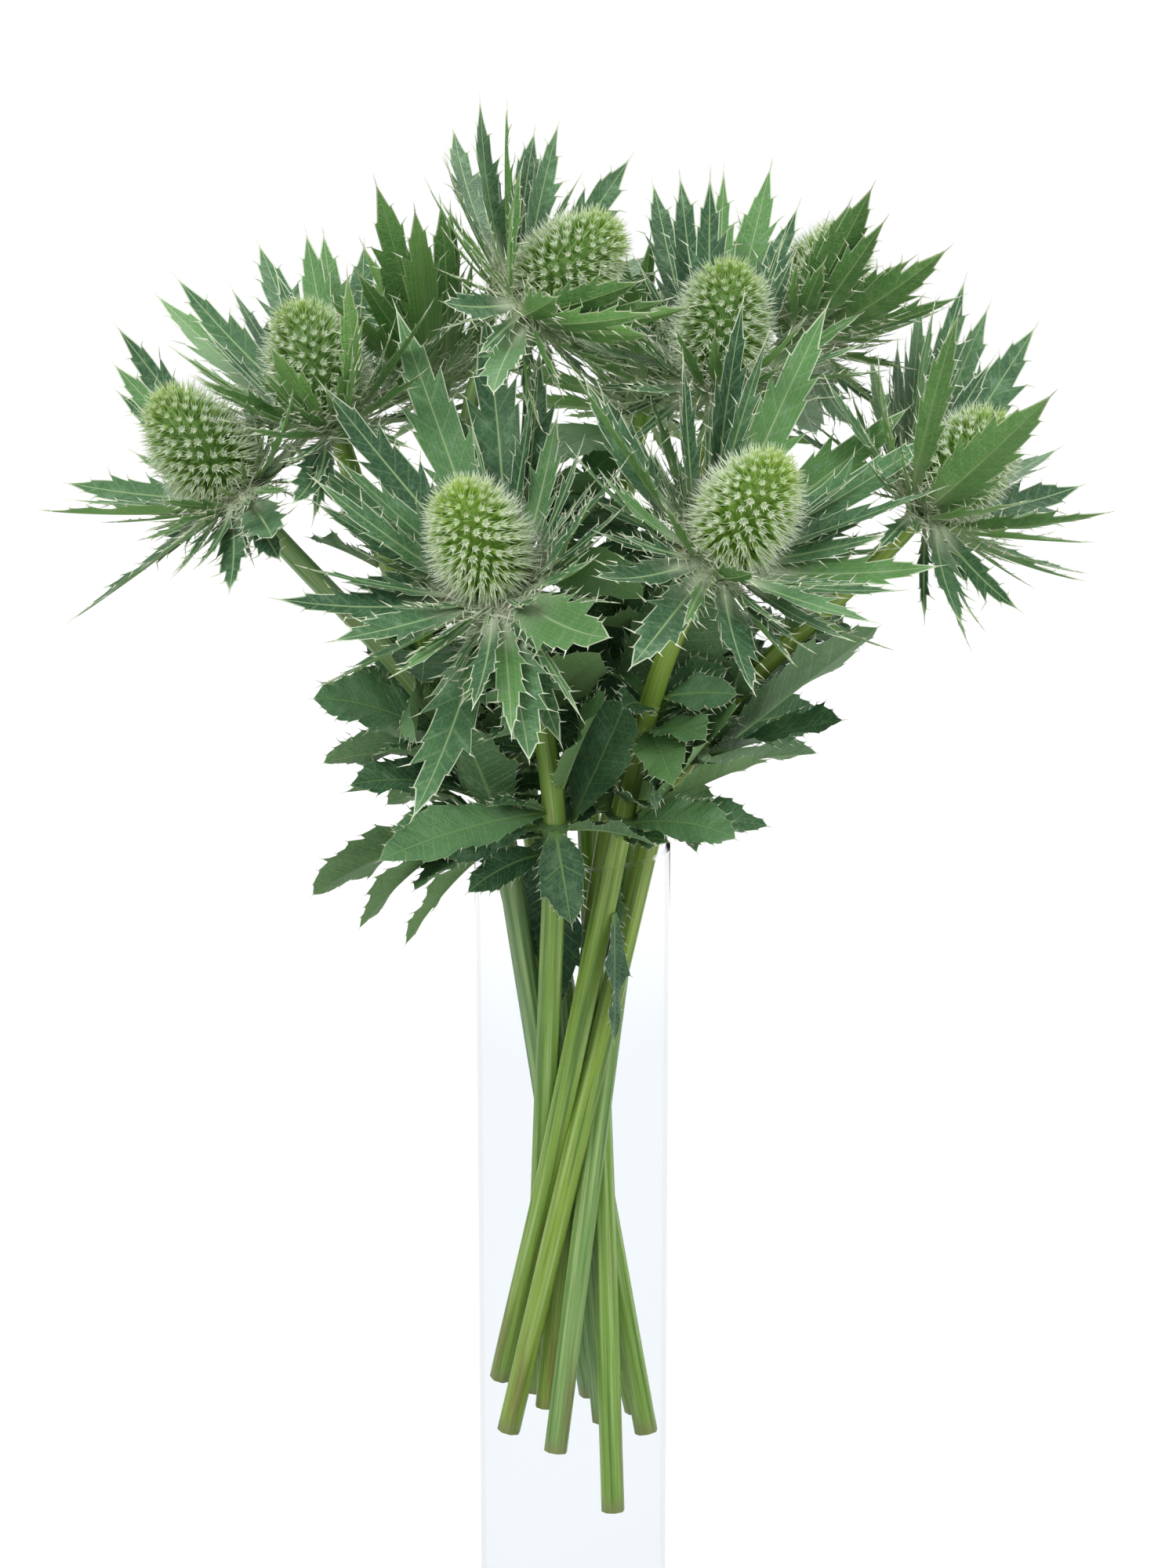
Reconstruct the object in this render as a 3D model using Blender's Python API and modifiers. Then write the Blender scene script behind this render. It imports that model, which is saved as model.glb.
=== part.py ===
# A bunch of sea holly standing in a straight clear glass cylinder.
# Ten stems cross at a waist inside the glass, and each carries a whorl of toothed leaves, a ring of
# toothed bracts and one cone of florets. Lengths are in millimetres and become metres in the meshes.

import math
import random

import bmesh
import bpy
from mathutils import Matrix, Quaternion, Vector
from mathutils.bvhtree import BVHTree

MM = 0.001
SEED = 11
GAP = 0.3
UP = Vector((0, 0, 1))

GLASS_HEIGHT = 267
GLASS_RADIUS = 30
GLASS_WALL = 2.5
GLASS_FLOOR = 8
GLASS_FOOT_ROUND = 1.5
GLASS_SEGMENTS = 36

# The stems are wound like a hand-tied bunch: straight lines that pass each other at the waist.
WAIST_HEIGHT = 174
STEM_RADIUS = 3.1
INNER_STEM_RADIUS = 2.55
WAIST_RING = 8.95
TURN_SLOPE = 0.232
TURN_ANGLE = 68
CUT_OFFSET = 22.2
STEM_TAPER = 0.18
STEM_TAPER_RUN = 100
STEM_STEPS = (3, 3, 5)
NECK = 4

FLORETS = 64
CONE_HEIGHT = 35.5
CONE_RADIUS = 13
CONE_WIDEST_AT = 14
CONE_BELOW = 16.5
CONE_FOOT_RADIUS = 6.5
CONE_FOOT_POINTS = 8
FLORET_HOLLOW = 1.5

BLADE_THICKNESS = 0.7
BRACT_RING = 8.5
BRACT_APART = 18
BRACT_ROOT_HALF_ANGLE = 14
BRACT_LENGTH = 54
BRACT_SLIMNESS = 0.108
BRACT_LONGEST = 92
BRACT_WIDTHS = (1.0, 0.75, 0.55)
BRACT_SPREADS = (64, 57, 71, 50, 78, 44, 85, 93, 38, 102)
LEAF_RING = 2.2
LEAF_ROOT_HALF_ANGLE = 20
LEAF_APART = 50
LEAF_TWIST = (25, 65)
LEAF_SLIMNESS = 0.27
ROOT_GAP = 0.75
PUSHES = 120
TEST_MARGIN = 0.25

# Half widths left and right of the midrib along a blade, as shares of its greatest half width.
BRACT_OUTLINE = (
    (0.22, 0.48, 0.54),
    (0.44, 1.00, 0.62),
    (0.53, 0.62, 1.04),
    (0.68, 0.84, 0.52),
    (0.77, 0.42, 0.64),
)
LEAF_OUTLINE = (
    (0.14, 0.42, 0.50),
    (0.31, 1.00, 0.76),
    (0.42, 0.78, 1.02),
    (0.56, 0.98, 0.70),
    (0.68, 0.62, 0.88),
    (0.82, 0.60, 0.40),
)

# Where the photo was taken from, and how far that view looks down.
VIEW_FROM = Vector((5, -938, 528))
VIEW_PITCH = math.radians(14.5)
PICTURE_RIGHT = Vector((1, 0, 0))
PICTURE_UP = Vector((0, math.sin(VIEW_PITCH), math.cos(VIEW_PITCH)))

# One entry a stem. base is the foot of its cone and axis the way that cone points. exit is the azimuth
# at which the stem leaves the glass, or None for the two stems in the middle, and cut is the height of
# its lower end. seen lists the tips of the bracts that the photo shows, right and up of the base as the
# photo sees them, with a 1 where the bract stands behind the cone, and bracts is how many there are all
# round. node is the height of the leaf whorl, and leaves lists the tips of its leaves.
STEMS = (
    {
        "base": (-21, -47, 356), "axis": (-0.30, -0.43, 0.85), "exit": -102, "cut": 76, "bracts": 17,
        "seen": ((-29, 79), (-4, 79), (12, 67), (-50, 57), (-59, 40), (-46, 36), (-14, 53), (17, 48),
                 (-63, -4), (-47, -16), (-24, -66), (9, -50), (18, -45), (32, -15), (28, 8)),
        "node": 280, "leaves": ((-42, -42, 275), (0, -38, 252), (24, -46, 279), (16, -34, 319)),
    },
    {
        "base": (42, -44, 364), "axis": (0.47, -0.32, 0.82), "exit": -57, "cut": 87, "bracts": 17,
        "seen": ((-41, 52), (7, 73), (31, 71), (54, 42), (63, 35), (63, 19), (63, -3), (-11, 43),
                 (44, -19), (37, -24), (10, -39), (-25, -32), (-35, -6), (-33, 23)),
        "node": 281, "leaves": ((48, -40, 279), (58, -24, 299), (48, -40, 319), (8, -30, 339)),
    },
    {
        "base": (-13, 3, 429), "axis": (0.72, 0.02, 0.69), "exit": None, "cut": 71, "bracts": 14,
        "seen": ((-14, 61), (-6, 59), (2, 52), (9, 54, 1), (30, 44, 1), (-22, 53), (39, 17),
                 (39, -7), (9, -20), (-25, 2)),
        "node": 299, "leaves": ((-40, -12, 345), (16, 10, 357), (-16, 46, 333), (-52, 20, 323)),
    },
    {
        "base": (43, 5, 408), "axis": (0.10, -0.25, 0.96), "exit": None, "cut": 83, "bracts": 14,
        "seen": ((-19, 58), (-11, 60), (-2, 60), (16, 63), (24, 51), (23, 37)),
        "node": 301, "leaves": ((10, -30, 349), (40, -24, 353), (52, 34, 339), (66, -8, 333)),
    },
    {
        "base": (-70, -6, 397), "axis": (-0.30, 0.05, 0.95), "exit": 168, "cut": 72, "bracts": 13,
        "seen": ((-22, 52), (-8, 55), (9, 52), (-46, 42), (-52, 37), (-40, 12)),
        "node": 291, "leaves": ((-76, 0, 317), (-72, 20, 291), (-60, -28, 310), (-34, -26, 349),
                                (-70, 34, 331)),
    },
    {
        "base": (-99, -8, 377), "axis": (-0.60, -0.10, 0.79), "exit": -147, "cut": 73, "bracts": 13,
        "seen": ((-35, 48), (-36, 37), (-50, 2), (-30, 11), (-25, -12), (-18, -25), (-2, -30),
                 (15, -24)),
        "node": 279, "leaves": ((-78, -20, 256), (-63, -34, 250), (-68, -12, 286), (-34, -44, 317)),
    },
    {
        "base": (105, 0, 370), "axis": (0.65, 0.02, 0.76), "exit": -12, "cut": 77, "bracts": 14,
        "seen": ((37, -46), (-1, 62), (12, 68), (19, 60), (33, 54), (38, 34), (47, 7), (27, -11),
                 (30, -22), (13, -40)),
        "node": 299, "leaves": ((92, 0, 334), (80, -24, 311), (60, 16, 337), (62, -36, 289),
                                (86, 24, 315)),
    },
    {
        "base": (69, 43, 418), "axis": (0.45, 0.35, 0.82), "exit": 33, "cut": 75, "bracts": 11,
        "seen": ((16, 39), (23, 44), (35, 22), (46, 25)),
        "node": 283, "leaves": ((66, 44, 317), (47, 6, 271), (76, 24, 289), (30, 58, 327),
                                (52, 62, 289)),
    },
    {
        "base": (-43, 48, 401), "axis": (-0.35, 0.40, 0.85), "exit": 123, "cut": 73, "bracts": 11,
        "seen": ((-18, 62), (2, 56), (-13, 50)),
        "node": 281, "leaves": ((-48, 62, 319), (-66, 48, 289), (-26, 80, 285), (-8, 56, 333),
                                (-58, 22, 273)),
    },
    {
        "base": (23, 71, 393), "axis": (0.20, 0.50, 0.84), "exit": 78, "cut": 53, "bracts": 11,
        "seen": (),
        "node": 289, "leaves": ((22, 84, 323), (-10, 86, 293), (46, 74, 291), (34, 52, 333)),
    },
)

# The two middle stems stand front and back at the waist, and lean opposite ways.
MIDDLE_STEMS = {
    2: {"waist": (0, 2.7), "cut": (9, 7), "rim": (-5, 4)},
    3: {"waist": (0, -2.7), "cut": (-9, -8), "rim": (10, -2)},
}


# Building blocks

def clear_scene():
    for obj in list(bpy.data.objects):
        bpy.data.objects.remove(obj, do_unlink=True)


def make_collection(name):
    collection = bpy.data.collections.new(name)
    bpy.context.scene.collection.children.link(collection)
    return collection


def make_material(name, color, roughness, transmission=0.0):
    material = bpy.data.materials.new(name)
    material.use_nodes = True
    shader = material.node_tree.nodes["Principled BSDF"]
    shader.inputs["Base Color"].default_value = (*color, 1)
    shader.inputs["Roughness"].default_value = roughness
    shader.inputs["Metallic"].default_value = 0
    shader.inputs["Transmission Weight"].default_value = transmission
    material.diffuse_color = (*color, 1)
    return material


def add_object(name, data, material, collection):
    obj = bpy.data.objects.new(name, data)
    data.materials.append(material)
    collection.objects.link(obj)
    return obj


def shade_smooth(mesh, angle):
    mesh.polygons.foreach_set("use_smooth", [True] * len(mesh.polygons))
    mesh.set_sharp_from_angle(angle=math.radians(angle))


def on_circle(radius, azimuth, height=0.0):
    return Vector((radius * math.cos(azimuth), radius * math.sin(azimuth), height))


def hermite(start, leave, end, arrive, t):
    a = 2 * t**3 - 3 * t**2 + 1
    b = t**3 - 2 * t**2 + t
    c = -2 * t**3 + 3 * t**2
    d = t**3 - t**2
    return start * a + leave * b + end * c + arrive * d


def solid_tree(obj):
    # The evaluated surface in millimetres, for the clearance tests.
    evaluated = obj.evaluated_get(bpy.context.evaluated_depsgraph_get())
    mesh = evaluated.to_mesh()
    points = [obj.matrix_world @ vertex.co / MM for vertex in mesh.vertices]
    faces = [tuple(polygon.vertices) for polygon in mesh.polygons]
    evaluated.to_mesh_clear()
    return BVHTree.FromPolygons(points, faces)


# The glass

def make_glass(material, collection):
    inner = GLASS_RADIUS - GLASS_WALL
    lip = GLASS_WALL / 2
    profile = [
        (0, 0),
        (GLASS_RADIUS - GLASS_FOOT_ROUND, 0),
        (GLASS_RADIUS, GLASS_FOOT_ROUND),
        (GLASS_RADIUS, GLASS_HEIGHT - lip * 0.6),
        (GLASS_RADIUS - lip * 0.6, GLASS_HEIGHT),
        (inner + lip * 0.6, GLASS_HEIGHT),
        (inner, GLASS_HEIGHT - lip * 0.6),
        (inner, GLASS_FLOOR + 3),
        (inner - 3, GLASS_FLOOR),
        (0, GLASS_FLOOR),
    ]
    mesh = bpy.data.meshes.new("bottle")
    points = [(x * MM, 0, z * MM) for x, z in profile]
    edges = [(i, i + 1) for i in range(len(points) - 1)]
    mesh.from_pydata(points, edges, [])
    glass = add_object("bottle", mesh, material, collection)
    screw = glass.modifiers.new("Turn", "SCREW")
    screw.axis = "Z"
    screw.steps = GLASS_SEGMENTS
    screw.render_steps = GLASS_SEGMENTS
    screw.use_merge_vertices = True
    screw.merge_threshold = 0.0001
    screw.use_normal_calculate = True
    return glass


# The stems

def stem_keys(index, stem):
    # The four points that a stem curves through, from its cut end to the neck under its cone, and its way
    # at each of them.
    base = Vector(stem["base"])
    axis = Vector(stem["axis"]).normalized()
    if stem["exit"] is None:
        middle = MIDDLE_STEMS[index]
        cut = Vector((*middle["cut"], stem["cut"]))
        waist = Vector((*middle["waist"], WAIST_HEIGHT))
        rim = Vector((*middle["rim"], GLASS_HEIGHT))
        rise = (rim - cut).normalized()
        waist_way = rise
        rim_way = ((rim - waist).normalized() + (base - rim).normalized()).normalized()
    else:
        waist_azimuth = math.radians(stem["exit"] - TURN_ANGLE)
        outward = on_circle(1, waist_azimuth)
        sideways = Vector((-outward.y, outward.x, 0))
        waist = outward * WAIST_RING + UP * WAIST_HEIGHT
        rim = waist + (sideways * TURN_SLOPE + UP) * (GLASS_HEIGHT - WAIST_HEIGHT)
        cut = outward * WAIST_RING - sideways * CUT_OFFSET + UP * stem["cut"]
        waist_way = (sideways * TURN_SLOPE + UP).normalized()
        rim_way = waist_way
    top = base - axis * (BLADE_THICKNESS / 2 + GAP + NECK)
    ways = ((waist - cut).normalized(), waist_way, rim_way, axis)
    return (cut, waist, rim, top), ways


def stem_line(index, stem):
    keys, ways = stem_keys(index, stem)
    points = [keys[0]]
    for i, steps in enumerate(STEM_STEPS):
        reach = (keys[i + 1] - keys[i]).length
        for step in range(1, steps + 1):
            t = step / steps
            points.append(hermite(keys[i], ways[i] * reach, keys[i + 1], ways[i + 1] * reach, t))
    points.append(keys[-1] + ways[-1] * NECK)
    return points


def stem_radius(stem, height):
    full = INNER_STEM_RADIUS if stem["exit"] is None else STEM_RADIUS
    share = min(max((height - GLASS_HEIGHT) / STEM_TAPER_RUN, 0), 1)
    return full * (1 - STEM_TAPER * share)


def make_stem(name, index, stem, material, collection):
    line = stem_line(index, stem)
    curve = bpy.data.curves.new(name, "CURVE")
    curve.dimensions = "3D"
    curve.bevel_depth = MM
    curve.bevel_resolution = 2
    curve.use_fill_caps = True
    spline = curve.splines.new("POLY")
    spline.points.add(len(line) - 1)
    for point, place in zip(spline.points, line):
        point.co = (*(place * MM), 1)
        point.radius = stem_radius(stem, place.z)
    spline.use_smooth = True
    return add_object(name, curve, material, collection)


def place_on_stem(index, stem, height):
    # The point of the stem at this height, and the way it runs there.
    line = stem_line(index, stem)
    for low, high in zip(line, line[1:]):
        if low.z <= height <= high.z:
            share = (height - low.z) / (high.z - low.z)
            return low.lerp(high, share), (high - low).normalized()
    raise ValueError("no stem at this height")


# The cones

def cone_radius(height):
    reach = CONE_HEIGHT - CONE_WIDEST_AT if height > CONE_WIDEST_AT else CONE_BELOW
    return CONE_RADIUS * math.sqrt(max(1 - ((height - CONE_WIDEST_AT) / reach) ** 2, 0))


def floret_places():
    # A spiral of florets with the same share of the cone's surface each.
    steps = 200
    heights = [CONE_HEIGHT * i / steps for i in range(steps + 1)]
    areas = [0.0]
    for low, high in zip(heights, heights[1:]):
        slant = math.hypot(high - low, cone_radius(high) - cone_radius(low))
        areas.append(areas[-1] + slant * (cone_radius(low) + cone_radius(high)) / 2)
    golden = math.pi * (3 - math.sqrt(5))
    places = []
    at = 0
    for i in range(FLORETS):
        wanted = areas[-1] * (i + 0.7) / (FLORETS + 0.4)
        while areas[at + 1] < wanted:
            at += 1
        share = (wanted - areas[at]) / (areas[at + 1] - areas[at])
        height = heights[at] + (heights[at + 1] - heights[at]) * share
        places.append(on_circle(cone_radius(height), i * golden, height))
    return places


def make_cone(name, stem, turn, material, collection):
    bm = bmesh.new()
    for place in floret_places():
        bm.verts.new(place * MM)
    for i in range(CONE_FOOT_POINTS):
        bm.verts.new(on_circle(CONE_FOOT_RADIUS, 2 * math.pi * i / CONE_FOOT_POINTS) * MM)
    bmesh.ops.convex_hull(bm, input=bm.verts)
    bm.normal_update()
    sides = [face for face in bm.faces if face.normal.z > -0.9]
    bmesh.ops.poke(bm, faces=sides, offset=-FLORET_HOLLOW * MM)
    bmesh.ops.triangulate(bm, faces=bm.faces)
    bmesh.ops.recalc_face_normals(bm, faces=bm.faces)
    mesh = bpy.data.meshes.new(name)
    bm.to_mesh(mesh)
    bm.free()
    shade_smooth(mesh, 30)
    axis = Vector(stem["axis"]).normalized()
    cone = add_object(name, mesh, material, collection)
    cone.location = (Vector(stem["base"]) + axis * (BLADE_THICKNESS / 2 + GAP)) * MM
    cone.rotation_mode = "QUATERNION"
    cone.rotation_quaternion = axis.to_track_quat("Z", "Y") @ Quaternion(UP, turn)
    return cone


# Blades: bracts and leaves

def make_blade(root, tip, bend, across, outline, twist):
    # A flat toothed strip along a curve from root to tip. across is its width's direction at the root,
    # and outline gives the half widths on both sides at each share of its length.
    middle = root.lerp(tip, 0.5) + bend
    rows = []
    for share, left, right in outline:
        place = root * (1 - share) ** 2 + middle * 2 * share * (1 - share) + tip * share**2
        along = ((middle - root) * (1 - share) + (tip - middle) * share).normalized()
        side = (across - along * across.dot(along)).normalized()
        side.rotate(Quaternion(along, twist * math.sqrt(share)))
        rows.append((place + side * left, place - side * right, side.cross(along)))
    return {"rows": rows, "tip": tip}


def widened(outline, root_half_width, half_width):
    rows = [(share, left * half_width, right * half_width) for share, left, right in outline]
    return [(0.0, root_half_width, root_half_width)] + rows


def blade_tree(blade, first):
    # The closed outside of a blade from this row on, a little larger than the blade will be.
    half = BLADE_THICKNESS / 2 + TEST_MARGIN
    points = []
    for left, right, normal in blade["rows"][first:]:
        side = (left - right).normalized() * TEST_MARGIN
        for place in (left + side, right - side):
            points.append(place + normal * half)
            points.append(place - normal * half)
    normal = blade["rows"][-1][2]
    points.append(blade["tip"] + normal * half)
    points.append(blade["tip"] - normal * half)
    faces = [(0, 2, 3, 1)]
    last = len(points) - 6
    for i in range(0, last, 4):
        for a, b in ((0, 2), (1, 3), (0, 1), (2, 3)):
            faces.append((i + a, i + b, i + b + 4))
            faces.append((i + a, i + b + 4, i + a + 4))
    top, bottom = len(points) - 2, len(points) - 1
    faces += [(last, last + 2, top), (last + 1, last + 3, bottom)]
    faces += [(last, last + 1, bottom, top), (last + 2, last + 3, bottom, top)]
    return BVHTree.FromPolygons(points, faces)


def hub_tree(place, axis, radius):
    # The disc or ring that a rosette's blades grow from, as a flat drum.
    frame = axis_frame(axis)
    half = axis * (BLADE_THICKNESS / 2 + TEST_MARGIN)
    count = 12
    points = []
    for i in range(count):
        angle = 2 * math.pi * i / count
        rim = place + (frame[0] * math.cos(angle) + frame[1] * math.sin(angle)) * (radius + TEST_MARGIN)
        points += [rim + half, rim - half]
    faces = [tuple(range(0, 2 * count, 2)), tuple(range(1, 2 * count, 2))]
    for i in range(count):
        k = (i + 1) % count
        faces.append((2 * i, 2 * i + 1, 2 * k + 1, 2 * k))
    return BVHTree.FromPolygons(points, faces)


class Space:
    # What stands so far, so that a new blade can be tried against it.
    def __init__(self, solids):
        self.solids = solids
        self.blades = []

    def add_hub(self, owner, tree):
        self.blades.append((owner, tree, None))

    def is_free(self, blade, owner):
        whole = blade_tree(blade, 0)
        outer = blade_tree(blade, 1)
        if any(whole.overlap(tree) for tree in self.solids):
            return False
        for other, other_whole, other_outer in self.blades:
            if other == owner:
                if other_outer is not None and outer.overlap(other_outer):
                    return False
            elif whole.overlap(other_whole):
                return False
        self.blades.append((owner, whole, outer))
        return True


def sighted_point(stem, aim, spread):
    # On the line of sight through aim, the nearest point at this angle from the cone's axis, or the far one
    # for a bract behind the cone.
    base = Vector(stem["base"])
    axis = Vector(stem["axis"]).normalized()
    seen = base + PICTURE_RIGHT * aim[0] + PICTURE_UP * aim[1]
    sight = (seen - VIEW_FROM).normalized()
    offset = seen - base
    square = math.cos(math.radians(spread)) ** 2
    a = sight.dot(axis) ** 2 - square
    b = 2 * (sight.dot(axis) * offset.dot(axis) - square * sight.dot(offset))
    c = offset.dot(axis) ** 2 - square * offset.dot(offset)
    under = b * b - 4 * a * c
    if under < 0 or abs(a) < 1e-6:
        return None
    steps = [(-b + sign * math.sqrt(under)) / (2 * a) for sign in (1, -1)]
    found = []
    for step in steps:
        point = seen + sight * step
        rising = (point - base).dot(axis) * math.cos(math.radians(spread)) >= 0
        if rising and (point - base).length < BRACT_LONGEST:
            found.append((abs(step) if len(aim) == 2 else -step, point))
    return min(found, key=lambda item: item[0])[1] if found else None


def axis_frame(axis):
    turn = axis.to_track_quat("Z", "Y")
    return turn @ Vector((1, 0, 0)), turn @ Vector((0, 1, 0))


def azimuth_of(offset, frame):
    return math.atan2(offset.dot(frame[1]), offset.dot(frame[0]))


def widest_gap_middle(azimuths):
    if not azimuths:
        return 0.0
    ordered = sorted(azimuths)
    gaps = [(b - a, a) for a, b in zip(ordered, ordered[1:] + [ordered[0] + 2 * math.pi])]
    size, start = max(gaps)
    return start + size / 2


def slots_for(azimuths, apart):
    # Places round the ring in the same order, pushed away from each other until they are this far apart.
    # With each comes the free angle to its nearest neighbour.
    full = 2 * math.pi
    count = len(azimuths)
    order = sorted(range(count), key=lambda i: azimuths[i] % full)
    places = [azimuths[i] % full for i in order]

    def step_after(k):
        return places[k + 1] - places[k] if k + 1 < count else places[0] + full - places[k]

    for _ in range(PUSHES):
        for k in range(count):
            lack = apart - step_after(k)
            if lack > 0:
                places[k] -= lack / 2
                places[(k + 1) % count] += lack / 2
    slots = [None] * count
    for k, i in enumerate(order):
        slots[i] = (places[k], min(step_after(k), step_after((k - 1) % count)))
    return slots


def bract_plans(stem, draw):
    # For each bract its azimuth round the cone, the list of tips to try, best first, and whether it only
    # fills a gap.
    base = Vector(stem["base"])
    axis = Vector(stem["axis"]).normalized()
    frame = axis_frame(axis)
    plans = []
    for aim in stem["seen"]:
        tips = []
        for shrink in (1, 0.93, 0.86):
            for spread in BRACT_SPREADS:
                tip = sighted_point(stem, (aim[0] * shrink, aim[1] * shrink, *aim[2:]), spread)
                if tip is not None:
                    tips.append(tip)
        if tips:
            plans.append((azimuth_of(tips[0] - base, frame), tips, False))
    while len(plans) < stem["bracts"]:
        azimuth = widest_gap_middle([plan[0] for plan in plans])
        tips = []
        for attempt in range(30):
            spread = math.radians(draw.uniform(46, 80))
            swing = azimuth + math.radians(draw.uniform(-14, 14))
            around = frame[0] * math.cos(swing) + frame[1] * math.sin(swing)
            way = around * math.sin(spread) + axis * math.cos(spread)
            tips.append(base + way * BRACT_LENGTH * draw.uniform(0.8, 1.12) * (1 - attempt / 100))
        plans.append((azimuth, tips, True))
    return plans


def grow_bracts(owner, stem, space, draw, plans, chosen):
    base = Vector(stem["base"])
    axis = Vector(stem["axis"]).normalized()
    frame = axis_frame(axis)
    slots = slots_for([plan[0] for plan in plans], math.radians(BRACT_APART))
    blades = []
    for k in chosen:
        slot, free = slots[k]
        tips = plans[k][1]
        half_angle = min(free / 2 - ROOT_GAP / BRACT_RING / 2, math.radians(BRACT_ROOT_HALF_ANGLE))
        around = frame[0] * math.cos(slot) + frame[1] * math.sin(slot)
        root = base + around * BRACT_RING
        tries = [(tip, width) for width in BRACT_WIDTHS for tip in tips]
        for tip, width in tries:
            reach = (tip - root).length
            across = axis.cross(tip - root)
            if across.length < 0.3 * reach:
                across = axis.cross(around)
            bend = axis * -reach * draw.uniform(0.03, 0.12)
            half_width = reach * BRACT_SLIMNESS * width * draw.uniform(0.9, 1.1)
            outline = widened(BRACT_OUTLINE, BRACT_RING * math.sin(half_angle), half_width)
            twist = math.radians(draw.uniform(-30, 30))
            blade = make_blade(root, tip, bend, across.normalized(), outline, twist)
            if space.is_free(blade, owner):
                blade["slot"] = slot
                blade["half_angle"] = half_angle
                blades.append(blade)
                break
    return blades


def grow_leaves(owner, index, stem, space, draw):
    place, way = place_on_stem(index, stem, stem["node"])
    frame = axis_frame(way)
    ring = leaf_ring_radius(stem)[1]
    half_angle = math.radians(LEAF_ROOT_HALF_ANGLE)
    targets = [Vector(tip) for tip in stem["leaves"]]
    wanted = [azimuth_of(tip - place, frame) for tip in targets]
    slots = slots_for(wanted, math.radians(LEAF_APART))
    blades = []
    for (slot, free), target in zip(slots, targets):
        around = frame[0] * math.cos(slot) + frame[1] * math.sin(slot)
        root = place + around * ring
        for attempt in range(60):
            shift = Vector((draw.gauss(0, 1), draw.gauss(0, 1.5), draw.gauss(0, 1))) * attempt * 0.35
            tip = target + shift
            reach = (tip - root).length
            across = way.cross(tip - root)
            bend = UP * reach * draw.uniform(0.08, 0.2) + around * reach * 0.08
            half_width = reach * LEAF_SLIMNESS * draw.uniform(0.9, 1.1) * (1 - attempt / 150)
            outline = widened(LEAF_OUTLINE, ring * math.sin(half_angle), half_width)
            twist = math.radians(draw.uniform(*LEAF_TWIST) * draw.choice((-1, 1)))
            blade = make_blade(root, tip, bend, across.normalized(), outline, twist)
            if space.is_free(blade, owner):
                blade["slot"] = slot
                blade["half_angle"] = half_angle
                blades.append(blade)
                break
    return blades


def leaf_ring_radius(stem):
    inner = (stem_radius(stem, stem["node"]) + GAP) / math.cos(math.radians(LEAF_ROOT_HALF_ANGLE))
    return inner, inner + LEAF_RING


def add_blade(bm, blade, left, right):
    rows = [(left, right)]
    for row in blade["rows"][1:]:
        rows.append((bm.verts.new(row[0]), bm.verts.new(row[1])))
    for (a, b), (c, d) in zip(rows, rows[1:]):
        bm.faces.new((a, b, d))
        bm.faces.new((a, d, c))
    bm.faces.new((rows[-1][0], rows[-1][1], bm.verts.new(blade["tip"])))


def ring_angles(blades, widest):
    # The two root corners of every blade, with more points where the way to the next blade is long.
    blades = sorted(blades, key=lambda blade: blade["slot"])
    corners = []
    for blade in blades:
        corners.append((blade["slot"] - blade["half_angle"], blade, "right"))
        corners.append((blade["slot"] + blade["half_angle"], blade, "left"))
    first = corners[0]
    closing = [(first[0] + 2 * math.pi, None, "end")]
    angles = []
    for here, after in zip(corners, corners[1:] + closing):
        angles.append(here)
        pieces = math.ceil((after[0] - here[0]) / widest - 1e-6) if here[2] == "left" else 1
        for i in range(1, pieces):
            angles.append((here[0] + (after[0] - here[0]) * i / pieces, None, "between"))
    return angles


def make_rosette(name, place, axis, blades, rings, material, collection):
    # One open surface of a disc or a ring with its blades, thickened both ways.
    frame = axis_frame(axis)
    inner_radius, outer_radius = rings
    angles = ring_angles(blades, math.radians(40))
    bm = bmesh.new()
    outer = []
    inner = []
    corner = {}
    for angle, blade, side in angles:
        around = frame[0] * math.cos(angle) + frame[1] * math.sin(angle)
        outer.append(bm.verts.new(place + around * outer_radius))
        if inner_radius:
            inner.append(bm.verts.new(place + around * inner_radius))
        if blade is not None:
            corner[(id(blade), side)] = outer[-1]
    if not inner_radius:
        inner = [bm.verts.new(place)] * len(outer)
    for i in range(len(outer)):
        k = (i + 1) % len(outer)
        bm.faces.new((inner[i], outer[i], outer[k]))
        if inner_radius:
            bm.faces.new((inner[i], outer[k], inner[k]))
    for blade in blades:
        add_blade(bm, blade, corner[(id(blade), "left")], corner[(id(blade), "right")])
    bmesh.ops.recalc_face_normals(bm, faces=bm.faces)
    bmesh.ops.transform(bm, matrix=Matrix.Scale(MM, 4) @ Matrix.Translation(-place), verts=bm.verts)
    mesh = bpy.data.meshes.new(name)
    bm.to_mesh(mesh)
    bm.free()
    shade_smooth(mesh, 40)
    rosette = add_object(name, mesh, material, collection)
    rosette.location = place * MM
    thicken = rosette.modifiers.new("Thickness", "SOLIDIFY")
    thicken.thickness = BLADE_THICKNESS * MM
    thicken.offset = 0
    return rosette


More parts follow.
